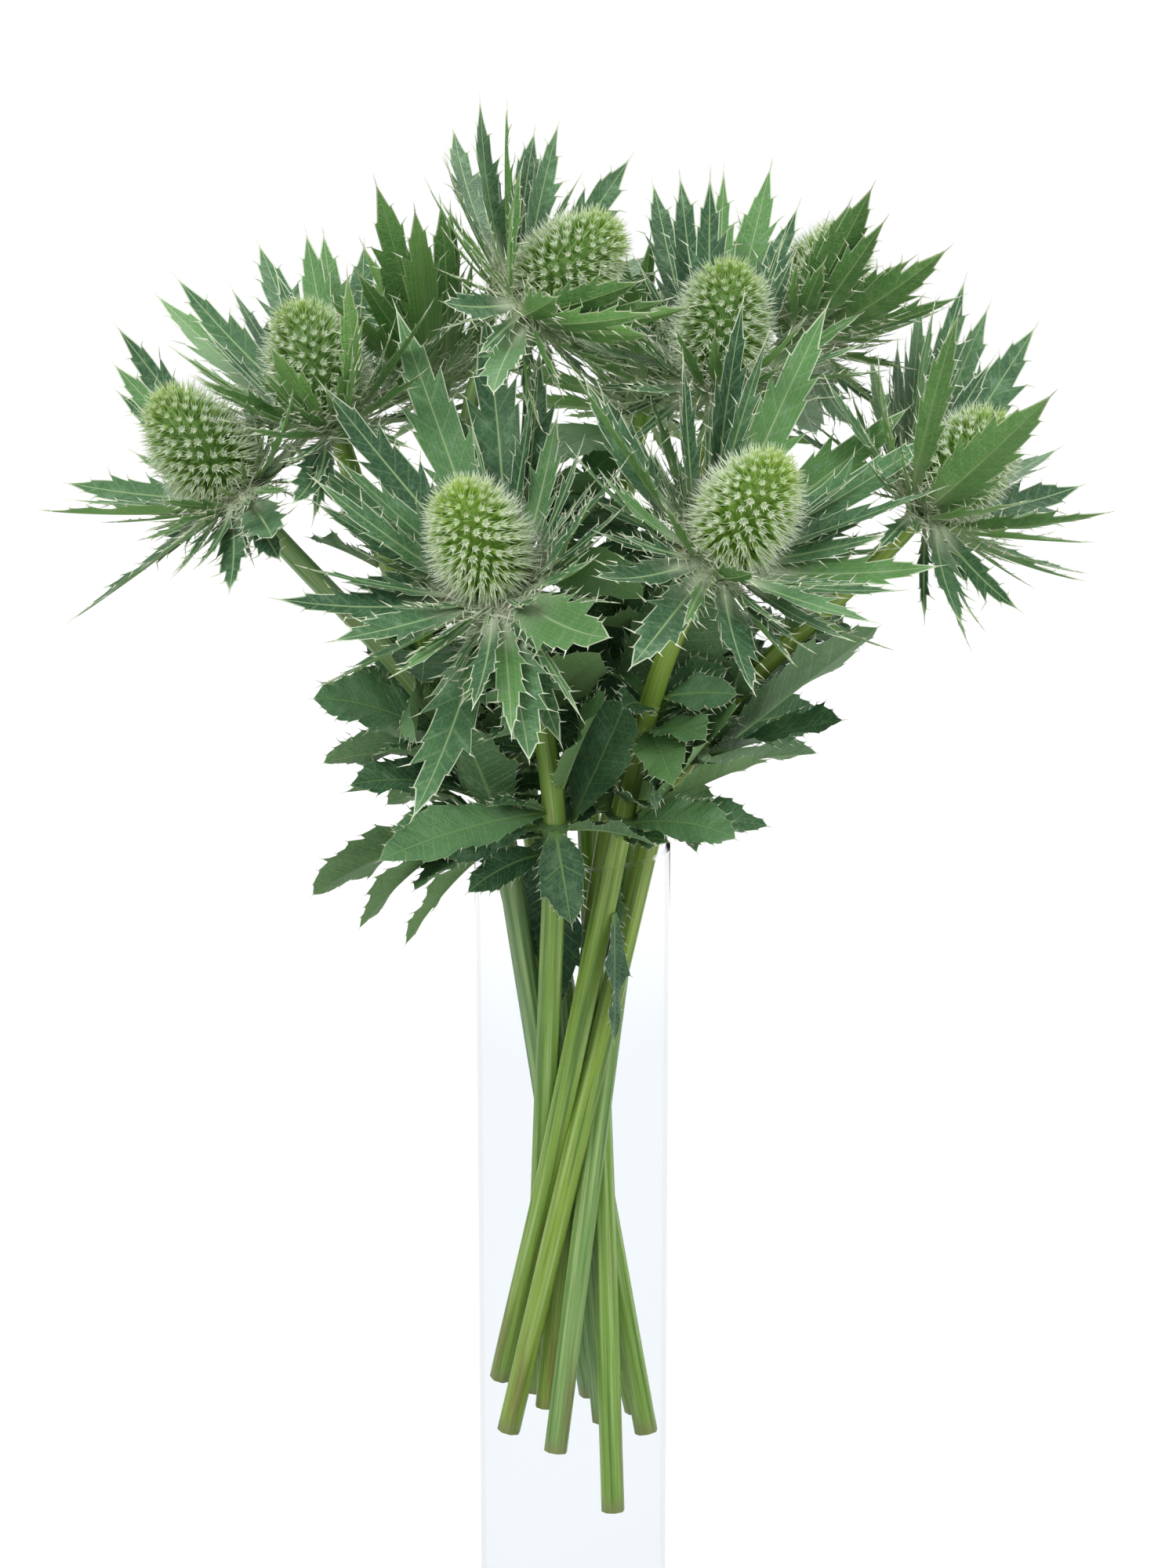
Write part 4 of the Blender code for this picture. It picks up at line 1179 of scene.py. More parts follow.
stemLook = {
    "steps": (14, 12, 22), "facets": 32, "ribs": 8, "ribDepth": 0.035, "swell": 1.15,
    # light is the pale streaks and threads of the skin, made paler so that they also stand as painted
    # highlights.
    "green": (0.260, 0.450, 0.070), "light": (0.520, 0.680, 0.270), "shade": (0.115, 0.240, 0.045),
    "rust": (0.250, 0.160, 0.065), "end": (0.300, 0.320, 0.120), "olive": (0.320, 0.470, 0.060),
    "blue": (0.230, 0.390, 0.160), "owns": (0.35, 0.75, 0.15, 0.95, 0.55, 0.05, 0.85, 0.25, 0.65, 0.45),
    "streaks": (1.6, 9.0, 1.5, 3.0), "threads": (6.0, 30.0, 1.6, 2.0), "rusts": (1.2, 14.0, 1.3, 2.0),
    "paleStreakAndHighlightShare": 0.85, "threadShare": 0.5, "rustShare": 0.6, "endShare": 0.8, "endFrom": 0.0002,
    "endRun": 0.014, "rough": 0.24, "roughShift": 0.24, "bump": 0.25, "bumpDepth": 0.0004, "edge": 50,
}


def stemTree(material):
    inputs = (
        ("Facets", "Int", stemLook["facets"]), ("Ribs", "Float", stemLook["ribs"]),
        ("Rib Depth", "Float", stemLook["ribDepth"]), ("Own", "Float", 0.5), ("Skin", "Material", material),
    )
    desk, wires = newTree("ribbedStem", inputs)
    values = {"Resolution": wires["Facets"], "Radius": 1.0}
    circle = desk.node("GeometryNodeCurvePrimitiveCircle", None, values)
    turn = desk.node("GeometryNodeSplineParameter") * (2 * math.pi)
    rib = 1 + wires["Rib Depth"] * (turn * wires["Ribs"]).math("COSINE")
    way = desk.joined(turn.math("COSINE"), turn.math("SINE"), 0.0)
    values = {"Geometry": circle, "Position": desk.scaled(way, rib)}
    profile = desk.node("GeometryNodeSetPosition", None, values)
    profile = desk.stored(profile, "stemTurn", way, "FLOAT_VECTOR")
    run = desk.node("GeometryNodeSplineParameter", out="Length")
    line = desk.stored(desk.stored(wires["Geometry"], "stemRun", run), "stemOwn", wires["Own"])
    radius = desk.node("GeometryNodeInputRadius")
    values = {"Curve": line, "Profile Curve": profile, "Scale": radius, "Fill Caps": True}
    endAt(desk, desk.skinned(desk.node("GeometryNodeCurveToMesh", None, values), wires["Skin"]))
    return desk


def stemMaterial():
    material, desk, shader = newMaterial("stemSkin", {"Metallic": 0.0, "IOR": 1.4})
    turn = desk.parts(desk.attribute("stemTurn", "Vector"))
    run = desk.attribute("stemRun")

    def grain(name):
        # Noise drawn out along the stem: how fast it changes round it and along it, its scale and detail.
        around, along, scale, detail = stemLook[name]
        return desk.noise(desk.joined(turn[0] * around, turn[1] * around, run * along), scale, detail)

    streak, thread, rust = grain("streaks"), grain("threads"), grain("rusts")
    own = desk.attribute("stemOwn")
    main = desk.mix(stemLook["blue"], stemLook["green"], desk.step(own, 0.1, 0.4))
    main = desk.mix(main, stemLook["olive"], desk.step(own, 0.6, 0.9))
    colour = desk.mix(stemLook["shade"], main, desk.step(streak, 0.28, 0.50))
    end = 1 - desk.step(run, stemLook["endFrom"], streak * stemLook["endRun"])
    for tone, mask, share in (
        # Pale streaks and threads of the skin, also painted highlights.
        ("light", desk.step(streak, 0.50, 0.72), "paleStreakAndHighlightShare"),
        ("light", desk.step(thread, 0.50, 0.78), "threadShare"),
        ("rust", desk.step(rust, 0.58, 0.76), "rustShare"),
        ("end", end, "endShare"),
    ):
        colour = desk.mix(colour, stemLook[tone], mask * stemLook[share])
    desk.feed(shader, {
        "Base Color": colour,
        "Roughness": stemLook["rough"] + thread * stemLook["roughShift"],
        "Normal": desk.bump(thread, stemLook["bump"], stemLook["bumpDepth"]),
    })
    return material


def makeStem(index, stem, tree):
    name = numbered("flowerStem", index)
    line = stemLine(index, stem, stemLook["steps"])
    curve = bpy.data.curves.new(name, "CURVE")
    curve.dimensions = "3D"
    spline = curve.splines.new("POLY")
    spline.points.add(len(line) - 1)
    for point, place in zip(spline.points, line):
        point.co = (*(place * mm), 1)
        point.radius = stemRadius(stem, place.z) * stemLook["swell"] * mm
    obj = runTree(addObject(name, curve), tree, {"Own": stemLook["owns"][index]}, name)
    obj.data.polygons.foreach_set("use_smooth", [True] * len(obj.data.polygons))
    obj.data.set_sharp_from_angle(angle=math.radians(stemLook["edge"]))
    return obj


ribbedStem = stemTree(stemMaterial())
for i, stem in enumerate(stems):
    standsFor(makeStem(i, stem, ribbedStem), numbered("stem", i))
print("stems made")


# The cones: florets and bristles on a spiral over a green core

coneLook = {
    "florets": 225, "height": 35.5, "radius": 12.6, "widestAt": 14, "below": 16.5, "depth": 4.6,
    "floretSize": 1.0, "topSize": 0.62, "bristles": 440, "bristle": 8.4, "bristleRadius": 0.20,
    "deep": (0.215, 0.375, 0.055), "green": (0.375, 0.610, 0.098), "pale": (0.570, 0.760, 0.300),
    "white": (0.920, 0.950, 0.860), "top": (0.480, 0.660, 0.120), "shift": 0.00055, "lean": 0.20,
    # shaded is painted shade, laid over the green of the cones that stand in shadow; owns gives each cone's
    # amount of it.
    "shaded": (0.120, 0.265, 0.085), "owns": (0.0, 0.1, 0.8, 0.9, 1.0, 0.8, 0.7, 0.8, 0.7, 0.9),
    "unlike": (0.84, 1.18), "spin": (0.0, 6.283), "bristlePoint": 0.02, "bristleUnlike": (0.6, 1.2),
    "bristleLean": ((-0.45, -0.45, -0.15), (0.45, 0.45, 0.65)), "bristleRoot": 0.75, "topShorter": 0.35,
    "footRadius": 4.6, "footDrop": -0.3, "coreRows": 15, "coreSides": 20, "turn": 0.7,
    "grain": 260.0, "topShare": 0.7, "grainShare": 0.2, "shadedShare": 0.6, "bristleBloom": (0.1, 0.85),
    "firstPlace": 0.4, "upward": 0.10, "roundTop": 0.0004, "edge": 80, "rough": 0.5, "roughShift": 0.25,
    "bump": 0.3, "bumpDepth": 0.0003,
    "stops": (("deep", 0.0), ("green", 0.32), ("pale", 0.58), ("white", 0.88)),
}

# The tube's rings are radius, height and bloom, which runs from 0 deep in the cone to 1 at a white tip.
# A spike is the (outward, sideways, height) of its foot's corners and of its tip, and the bloom of both.
floretParts = {
    "sides": 5, "tube": ((0.40, -4.8, 0.0), (0.68, -1.8, 0.30), (0.98, -0.1, 0.58)), "bottom": -5.0,
    "throat": (-0.4, 0.85),
    "lobe": (((0.35, -0.48, -0.2), (1.12, 0.0, -0.2), (0.35, 0.48, -0.2)), (1.12, 0.15, 1.3), 0.78, 1.0),
    "sepal": (((0.5, -0.24, -1.2), (1.0, 0.0, -1.4), (0.5, 0.24, -1.2)), (1.7, 0.0, 4.3), 0.45, 1.0),
}


def floretShape():
    # One floret with its mouth at the origin, opening to +Z: a long tube, white lobes that stand up and
    # long sharp sepals round it.
    points, faces, blooms = [], [], []

    def add(place, bloom):
        points.append(place * mm)
        blooms.append(bloom)
        return len(points) - 1

    def spike(turn, ways, tip, footBloom, tipBloom):
        out, side = onCircle(1, turn), onCircle(1, turn + math.pi / 2)
        corners = [add(out * x + side * y + up * z, footBloom) for x, y, z in ways]
        peak = add(out * tip[0] + side * tip[1] + up * tip[2], tipBloom)
        for a, b in zip(corners, corners[1:] + corners[:1]):
            faces.append((a, b, peak))
        faces.append(tuple(reversed(corners)))

    count = floretParts["sides"]
    turns = [2 * math.pi * k / count for k in range(count)]
    rings = []
    for radius, height, bloom in floretParts["tube"]:
        rings.append([add(onCircle(radius, turn, height), bloom) for turn in turns])
    bottom = add(up * floretParts["bottom"], 0.0)
    top = add(up * floretParts["throat"][0], floretParts["throat"][1])
    for k, turn in enumerate(turns):
        j = (k + 1) % count
        faces.append((bottom, rings[0][j], rings[0][k]))
        faces.append((top, rings[-1][k], rings[-1][j]))
        for low, high in zip(rings, rings[1:]):
            faces.append((low[k], low[j], high[j], high[k]))
        spike(turn, *floretParts["lobe"])
        spike(turn + math.pi / count, *floretParts["sepal"])
    mesh = bpy.data.meshes.new("floretShape")
    mesh.from_pydata(points, [], faces)
    mesh.polygons.foreach_set("use_smooth", [True] * len(faces))
    mesh.set_sharp_from_angle(angle=math.radians(60))
    mesh.attributes.new("bloom", "FLOAT", "POINT").data.foreach_set("value", blooms)
    return addObject("floretShape", mesh)


def onCone(desk, wires, count):
    # The place on the cone of each point of a spiral of so many, the way out of it there, and its share of
    # the height.
    index = desk.node("GeometryNodeInputIndex")
    share = (index + coneLook["firstPlace"]) / count
    height = share * wires["Height"]
    turn = index * (math.pi * (3 - math.sqrt(5)))
    beyond = height - wires["Widest At"]
    isHigh = beyond.math("GREATER_THAN", 0.0)
    reach = wires["Below"] + isHigh * (wires["Height"] - wires["Widest At"] - wires["Below"])
    ratio = beyond / reach
    wide = (1 - ratio * ratio).math("MAXIMUM", coneLook["roundTop"]).math("SQRT") * wires["Radius"]
    east, north = turn.math("COSINE"), turn.math("SINE")
    place = desk.joined(wide * east, wide * north, height)
    slope = ratio * wires["Radius"] * wires["Radius"] / reach
    normal = desk.joined(east * wide, north * wide, slope + wide * coneLook["upward"])
    return place, desk.node("ShaderNodeVectorMath", {"operation": "NORMALIZE"}, {0: normal}), share


def coneTree(material):
    inputs = (
        ("Florets", "Int", coneLook["florets"]), ("Height", "Float", coneLook["height"] * mm),
        ("Radius", "Float", coneLook["radius"] * mm), ("Widest At", "Float", coneLook["widestAt"] * mm),
        ("Below", "Float", coneLook["below"] * mm), ("Floret", "Object", None),
        ("Floret Size", "Float", coneLook["floretSize"]), ("Top Size", "Float", coneLook["topSize"]),
        ("Bristles", "Int", coneLook["bristles"]), ("Bristle", "Float", coneLook["bristle"] * mm),
        ("Bristle Radius", "Float", coneLook["bristleRadius"] * mm),
        ("Bristle Root", "Float", -coneLook["depth"] * coneLook["bristleRoot"] * mm),
        # Own is how much painted shade this cone gets.
        ("Seed", "Int", 3), ("Own", "Float", 0.0), ("Skin", "Material", material),
    )
    desk, wires = newTree("floretCone", inputs)

    def pointsAt(place, count, share):
        # So many points, each with its share of the cone's height and how much painted shade its cone gets.
        points = desk.node("GeometryNodePoints", None, {"Count": count, "Position": place})
        return desk.stored(desk.stored(points, "rise", share), "coneOwn", wires["Own"])

    place, outward, share = onCone(desk, wires, wires["Florets"])
    shift, lean = coneLook["shift"], coneLook["lean"]
    place = desk.plus(place, desk.chance((-shift,) * 3, (shift,) * 3, wires["Seed"] + 11))
    points = pointsAt(place, wires["Florets"], share)
    leaning = desk.plus(outward, desk.chance((-lean,) * 3, (lean,) * 3, wires["Seed"] + 13))
    angle = desk.chance(*coneLook["spin"], wires["Seed"])
    spin = desk.node("FunctionNodeAxisAngleToRotation", None, {"Axis": (0, 0, 1), "Angle": angle})
    values = {"Rotation": desk.alongZ(leaning), "Rotate By": spin}
    turned = desk.node("FunctionNodeRotateRotation", {"rotation_space": "LOCAL"}, values)
    unlike = desk.chance(*coneLook["unlike"], wires["Seed"] + 7)
    size = (wires["Floret Size"] + share**3 * (wires["Top Size"] - wires["Floret Size"])) * unlike
    floret = desk.node("GeometryNodeObjectInfo", None, {"Object": wires["Floret"]}, out="Geometry")
    florets = desk.copiesAt(points, floret, turned, desk.joined(size, size, size))

    place, outward, share = onCone(desk, wires, wires["Bristles"])
    place = desk.plus(place, desk.scaled(outward, wires["Bristle Root"]))
    points = pointsAt(place, wires["Bristles"], share)
    point = coneLook["bristlePoint"] * mm
    needle = desk.needle(3, wires["Bristle Radius"], point, wires["Bristle"])
    high = desk.parts(desk.node("GeometryNodeInputPosition"))[2] / wires["Bristle"]
    least, more = coneLook["bristleBloom"]
    needle = desk.stored(needle, "bloom", least + high * more)
    leaning = desk.plus(outward, desk.chance(*coneLook["bristleLean"], wires["Seed"] + 3))
    unlike = desk.chance(*coneLook["bristleUnlike"], wires["Seed"] + 5)
    length = unlike * (1 - share**4 * coneLook["topShorter"])
    bristles = desk.copiesAt(points, needle, desk.alongZ(leaning), desk.joined(1.0, 1.0, length))

    core = desk.stored(wires["Geometry"], "coneOwn", wires["Own"])
    whole = desk.node("GeometryNodeJoinGeometry", None, {0: [core, florets, bristles]})
    endAt(desk, desk.skinned(whole, wires["Skin"]))
    return desk


def coneMaterial():
    material, desk, shader = newMaterial("floretSkin", {"Metallic": 0.0, "IOR": 1.4})
    bloom, rise = desk.attribute("bloom"), desk.attribute("rise")
    grain = desk.noise(desk.objectPlace(), coneLook["grain"], 2.0)
    stops = [(at, coneLook[tone]) for tone, at in coneLook["stops"]]
    colour = desk.node("ShaderNodeValToRGB", {"stops": stops}, {0: bloom})
    young = desk.step(rise, 0.70, 1.0) * (1 - desk.step(bloom, 0.75, 1.0))
    colour = desk.mix(colour, coneLook["top"], young * coneLook["topShare"])
    colour = desk.mix(colour, coneLook["green"], desk.step(grain, 0.55, 0.8) * coneLook["grainShare"])
    # Painted shade: the green parts, not the white tips, of a cone in shadow go darker by its own amount.
    shade = desk.attribute("coneOwn") * (1 - bloom * 0.85) * coneLook["shadedShare"]
    colour = desk.mix(colour, coneLook["shaded"], shade)
    desk.feed(shader, {
        "Base Color": colour,
        "Roughness": coneLook["rough"] + grain * coneLook["roughShift"],
        "Normal": desk.bump(grain, coneLook["bump"], coneLook["bumpDepth"]),
    })
    return material


def makeCone(index, stem, tree, floret):
    # A cone round a smooth core, which the florets and bristles stand on.
    name = numbered("floretCone", index)
    widest, below = coneLook["widestAt"], coneLook["below"]
    core, top = coneLook["radius"] - coneLook["depth"], coneLook["height"] - coneLook["depth"]
    profile = [(0, coneLook["footDrop"]), (coneLook["footRadius"], coneLook["footDrop"])]
    for i in range(1, coneLook["coreRows"]):
        height = top * i / coneLook["coreRows"]
        reach = top - widest if height > widest else below
        profile.append((core * math.sqrt(1 - ((height - widest) / reach) ** 2), height))
    profile.append((0, top))
    heap = Heap()
    heap.lathe(profile, coneLook["coreSides"])
    obj = addObject(name, heap.mesh(name, [], coneLook["edge"]))
    # Own here is how much painted shade this cone gets.
    obj = runTree(obj, tree, {"Floret": floret, "Seed": 3 + index, "Own": coneLook["owns"][index]}, name)
    base, axis, sides = seatOf(stem)
    foot = base + axis * (stemShape["bladeThickness"] / 2 + stemShape["gap"])
    turn = axis.to_track_quat("Z", "Y") @ Quaternion(up, index * coneLook["turn"])
    obj.data.transform(Matrix.Translation(foot * mm) @ turn.to_matrix().to_4x4())
    return obj


floretCone = coneTree(coneMaterial())
floret = floretShape()
for i, stem in enumerate(stems):
    standsFor(makeCone(i, stem, floretCone, floret), numbered("cone", i))
bpy.data.objects.remove(floret)
print("cones made")


# Blades: bracts and leaves. A tooth is its share of the length, its width as a share of the greatest half
# width, how far the edge falls back after it, and the length of its spine.

bractLook = {
    "left": (
        (0.06, 0.36, 0.16, 5.0), (0.12, 0.44, 0.20, 6.0), (0.19, 0.56, 0.22, 4.6), (0.28, 0.76, 0.26, 3.4),
        (0.37, 0.86, 0.16, 2.8), (0.47, 1.08, 0.34, 3.2), (0.58, 0.86, 0.16, 2.2), (0.69, 0.98, 0.42, 3.2),
        (0.79, 0.58, 0.20, 2.0), (0.88, 0.38, 0.24, 1.6),
    ),
    "right": (
        (0.04, 0.34, 0.14, 5.0), (0.09, 0.40, 0.18, 6.0), (0.16, 0.50, 0.20, 5.6), (0.24, 0.68, 0.26, 4.0),
        (0.33, 0.80, 0.16, 2.8), (0.42, 0.92, 0.18, 2.6), (0.54, 1.10, 0.38, 3.2), (0.65, 0.80, 0.16, 2.2),
        (0.76, 0.84, 0.44, 3.0), (0.86, 0.44, 0.24, 1.6),
    ),
    "sweep": 1.25, "fold": 0.34, "ripple": 0.5, "waves": 2.6, "lift": 0.9, "thickness": 0.5, "rib": 0.5,
    "columns": (0.0, 0.12, 0.5, 0.85, 1.0), "rows": 13, "apexSpine": 3.4, "spineRadius": 0.28,
    "jitter": 0.012, "inward": 4.4, "spread": 0.55,
}
fineLook = dict(
    bractLook, columns=(0.0, 0.4, 1.0), rows=8, rib=0.35, thickness=0.42, spineRadius=0.25, upTo=3.9,
    left=(
        (0.08, 0.34, 0.20, 4.6), (0.18, 0.42, 0.24, 5.0), (0.30, 0.70, 0.34, 3.6), (0.46, 1.08, 0.54, 3.0),
        (0.62, 0.62, 0.20, 1.8), (0.76, 0.72, 0.50, 2.2), (0.88, 0.32, 0.24, 1.3),
    ),
    right=(
        (0.05, 0.32, 0.18, 4.6), (0.13, 0.38, 0.20, 5.0), (0.24, 0.55, 0.30, 4.2), (0.37, 0.80, 0.40, 3.0),
        (0.55, 1.10, 0.56, 2.8), (0.70, 0.56, 0.34, 1.8), (0.83, 0.42, 0.34, 1.4),
    ),
)
innerLook = dict(
    bractLook, columns=(0.0, 1.0), rows=5, sweep=0.6, fold=0.2, ripple=0.2, lift=0.2, apexSpine=3.0,
    thickness=0.4, rib=0.3, inward=3.0, count=16, length=(14, 27), width=(0.9, 1.7), swing=(-0.4, 0.4),
    angles=(54, 88), ring=7.4, rise=(-0.3, 0.5), bend=0.08, foot=0.9,
    left=((0.14, 0.7, 0.2, 4.0), (0.36, 1.0, 0.3, 3.6), (0.62, 0.8, 0.4, 2.4)),
    right=((0.08, 0.6, 0.2, 4.0), (0.25, 0.9, 0.2, 4.2), (0.50, 0.9, 0.35, 3.0), (0.76, 0.5, 0.3, 2.0)),
)
leafLook = {
    "left": (
        (0.08, 0.34, 0.06, 1.6), (0.16, 0.56, 0.08, 1.6), (0.24, 0.76, 0.08, 1.6), (0.33, 0.94, 0.13, 2.0),
        (0.41, 0.98, 0.08, 1.5), (0.49, 1.04, 0.08, 1.5), (0.57, 1.08, 0.15, 2.0), (0.65, 0.98, 0.08, 1.5),
        (0.73, 0.92, 0.10, 1.5), (0.82, 0.78, 0.20, 1.8), (0.89, 0.50, 0.14, 1.4), (0.95, 0.28, 0.2, 1.2),
    ),
    "right": (
        (0.10, 0.40, 0.06, 1.6), (0.18, 0.62, 0.08, 1.6), (0.27, 0.84, 0.08, 1.6), (0.35, 0.96, 0.08, 1.5),
        (0.44, 1.08, 0.15, 2.0), (0.52, 1.00, 0.08, 1.5), (0.61, 1.02, 0.08, 1.5), (0.70, 1.00, 0.17, 2.0),
        (0.78, 0.78, 0.10, 1.4), (0.85, 0.62, 0.14, 1.4), (0.92, 0.40, 0.2, 1.2),
    ),
    "sweep": 0.62, "fold": 0.24, "ripple": 1.2, "waves": 2.3, "lift": 0.9, "thickness": 0.5, "rib": 0.7,
    "columns": (0.0, 0.08, 0.45, 0.8, 1.0), "rows": 12, "apexSpine": 2.0, "spineRadius": 0.2,
    "jitter": 0.012, "inward": 1.6, "spread": 0.3,
}
# How a blade's mesh follows its teeth, the same for all: shares of the length and ranges for the draws.
toothed = {
    "width": (0.88, 1.1), "fall": (0.8, 1.15), "spine": (0.75, 1.25), "lift": (-0.35, 1.0), "run": 0.012,
    "apart": 0.004, "clear": 0.014, "firstRow": 0.004, "lastRow": 0.985, "end": 0.997, "sweepFull": 0.15,
    "liftReach": 0.05, "liftWidth": 6, "wave": 6.283, "phase": 6.28, "apexFoot": 0.8, "spineFoot": 0.6,
    "forward": (0.35, 1.1), "upward": (-0.3, 0.7),
}


def sweptBy(blade, look, width, share):
    # How far a point this far out lies ahead of its place on the midrib, as a share of the length.
    return width * look["sweep"] / blade["reach"] * min(1, share / toothed["sweepFull"])


def edgeOf(teeth, blade, look, draw):
    # One margin of a blade: (share, width in mm) corners, and (share, spine length, lift) of its teeth.
    corners = [(0.0, blade["rootHalfWidth"])]
    tips = []
    for share, width, fall, spine in teeth:
        wide = width * blade["halfWidth"] * draw.uniform(*toothed["width"])
        at = share + draw.uniform(-1, 1) * look["jitter"] - sweptBy(blade, look, wide, share)
        at = max(at, corners[-1][0] + toothed["apart"])
        corners.append((at, wide))
        corners.append((at + toothed["run"], wide * (1 - fall * draw.uniform(*toothed["fall"]))))
        length = spine * draw.uniform(*toothed["spine"])
        tips.append((at, length, draw.uniform(*toothed["lift"]) * look["lift"]))
    corners.append((1.0, 0.0))
    return corners, tips


def widthAt(corners, share):
    for (low, first), (high, second) in zip(corners, corners[1:]):
        if low <= share <= high:
            return first + (second - first) * (share - low) / (high - low)
    return corners[0][1]


def riseAt(blade, look, share, x, u, wide, tips, phase):
    # How far a point of a blade stands above its midrib's line.
    rise = look["fold"] * (math.sqrt(x * x + 0.5) - 0.707) * (1 - 0.4 * share)
    for at, spine, lift in tips:
        near = 1 - abs(share - at) / toothed["liftReach"]
        if near > 0:
            rise += near * lift * u * u * min(wide / toothed["liftWidth"], 1)
    fullness = min(wide / max(blade["halfWidth"], 0.01), 1)
    wave = math.sin(toothed["wave"] * look["waves"] * share + phase)
    return rise + look["ripple"] * wave * u * u * fullness * min(1, share * 3)


def addBlade(heap, blade, look, draw):
    # A closed blade: an upper and a lower skin that meet in a sharp margin, with a rib under the middle.
    blade["reach"] = (blade["tip"] - blade["root"]).length
    heap.tone = draw.random()
    edges = [edgeOf(look[side], blade, look, draw) for side in ("left", "right")]
    phases = [draw.uniform(0, toothed["phase"]) for hand in range(2)]
    shares = {(i + 0.5) / look["rows"] for i in range(look["rows"])}
    teeth = {at for corners, tips in edges for at, spine, lift in tips}
    shares = {share for share in shares if all(abs(share - at) > toothed["clear"] for at in teeth)}
    shares |= teeth | {at + toothed["run"] for at in teeth}
    shares = sorted(share for share in shares if toothed["firstRow"] < share < toothed["lastRow"])
    columns = look["columns"]
    spots = [(0, u) for u in reversed(columns[1:])] + [(0, 0.0)] + [(1, u) for u in columns[1:]]
    start = bladePlace(blade, 0.0)[0]
    inner = start - blade["around"] * look["inward"]
    rows = []
    for share, fixed in [(0.0, inner), (0.0, start)] + [(share, None) for share in shares]:
        row = []
        for hand, u in spots:
            corners, tips = edges[hand]
            sign = 1 if hand == 0 else -1
            wide = widthAt(corners, share) * (look["spread"] if fixed is inner else 1)
            x = u * wide
            at = min(share + sweptBy(blade, look, x, share), toothed["end"])
            place, along, side = bladePlace(blade, at)
            place = place if fixed is None else fixed
            upper = along.cross(side)
            rise = riseAt(blade, look, share, x, u, wide, tips, phases[hand])
            middle = place + side * (sign * x) + upper * rise
            spot = (x, (1 - u) * wide, share)
            if u == 1.0:
                one = heap.point(middle, spot)
                row.append((one, one))
                continue
            vein = 1.0 if u > 0 and share in teeth else 0.0
            high = look["thickness"] / 2 * (1 - u**3)
            deep = high + (look["rib"] * (1 - share) ** 0.7 if u == 0.0 else 0.0)
            row.append((
                heap.point(middle + upper * high, spot, vein), heap.point(middle - upper * deep, spot, vein)
            ))
        rows.append(row)
    for low, high in zip(rows, rows[1:]):
        for k in range(len(spots) - 1):
            for skin in (0, 1):
                corners = [low[k][skin], low[k + 1][skin], high[k + 1][skin], high[k][skin]]
                heap.face(tuple(corners if skin == 0 else reversed(corners)), skin)
    place, along, side = bladePlace(blade, 1.0)
    tip = heap.point(place, (0.0, 0.0, 1.0))
    for k in range(len(spots) - 1):
        heap.face((rows[-1][k][0], rows[-1][k + 1][0], tip), 0)
        heap.face((tip, rows[-1][k + 1][1], rows[-1][k][1]), 1)
    ring = [pair[0] for pair in rows[0]] + [pair[1] for pair in reversed(rows[0][1:-1])]
    heap.face(tuple(reversed(ring)), 1)
    hidden = toothed["apexFoot"]
    heap.spines.append((place - along * hidden, along, look["apexSpine"] + hidden, look["spineRadius"]))
    for hand, (corners, tips) in enumerate(edges):
        for at, spine, lift in tips:
            addSpine(heap, blade, look, (hand, at, spine), (corners, tips, phases[hand]), draw)


def addSpine(heap, blade, look, tooth, edge, draw):
    # The spine at the end of a tooth.
    hand, at, spine = tooth
    corners, tips, phase = edge
    sign = 1 if hand == 0 else -1
    wide = widthAt(corners, at)
    place, along, side = bladePlace(blade, min(at + sweptBy(blade, look, wide, at), toothed["end"]))
    upper = along.cross(side)
    rise = riseAt(blade, look, at, wide, 1.0, wide, tips, phase)
    forward = draw.uniform(*toothed["forward"])
    way = (side * sign + along * forward + upper * draw.uniform(*toothed["upward"])).normalized()
    start = place + side * (sign * wide) + upper * rise
    hidden = toothed["spineFoot"]
    heap.spines.append((start - way * hidden, way, spine + hidden, look["spineRadius"]))


def addInnerBracts(heap, stem, draw):
    # Narrow bracts that stand close round the cone.
    base, axis, sides = seatOf(stem)
    for k in range(innerLook["count"]):
        around = wayRound(sides, 2 * math.pi * (k + draw.uniform(*innerLook["swing"])) / innerLook["count"])
        spread = math.radians(draw.uniform(*innerLook["angles"]))
        length = draw.uniform(*innerLook["length"])
        root = base + around * innerLook["ring"] + axis * draw.uniform(*innerLook["rise"])
        tip = root + (around * math.sin(spread) + axis * math.cos(spread)) * length
        addBlade(heap, {
            "root": root, "middle": root.lerp(tip, 0.5) + around * length * innerLook["bend"], "tip": tip,
            "across": axis.cross(around), "twist": 0.0, "around": around,
            "halfWidth": draw.uniform(*innerLook["width"]), "rootHalfWidth": innerLook["foot"],
        }, innerLook, draw)


hairLook = {
    "count": 120, "length": (5, 13), "radius": 0.19, "start": 7.3, "rise": (-0.7, 0.2),
    "sideways": (-1.0, 1.0), "upward": (-0.2, 0.7),
}


def addHairs(heap, stem, draw):
    # Long pale bristles that cross each other among the roots of the bracts.
    base, axis, sides = seatOf(stem)
    for _ in range(hairLook["count"]):
        around = wayRound(sides, draw.uniform(0, 2 * math.pi))
        start = base + around * hairLook["start"] + axis * draw.uniform(*hairLook["rise"])
        way = around + axis.cross(around) * draw.uniform(*hairLook["sideways"])
        way += axis * draw.uniform(*hairLook["upward"])
        heap.spines.append((start, way.normalized(), draw.uniform(*hairLook["length"]), hairLook["radius"]))


spineLook = {
    "sides": 3, "point": 0.08, "grain": 150.0, "rough": 0.35,
    "stops": (
        (0.34, (0.420, 0.520, 0.280)), (0.46, (0.700, 0.760, 0.560)), (0.66, (0.800, 0.800, 0.660)),
        (0.80, (0.620, 0.480, 0.380)),
    ),
}


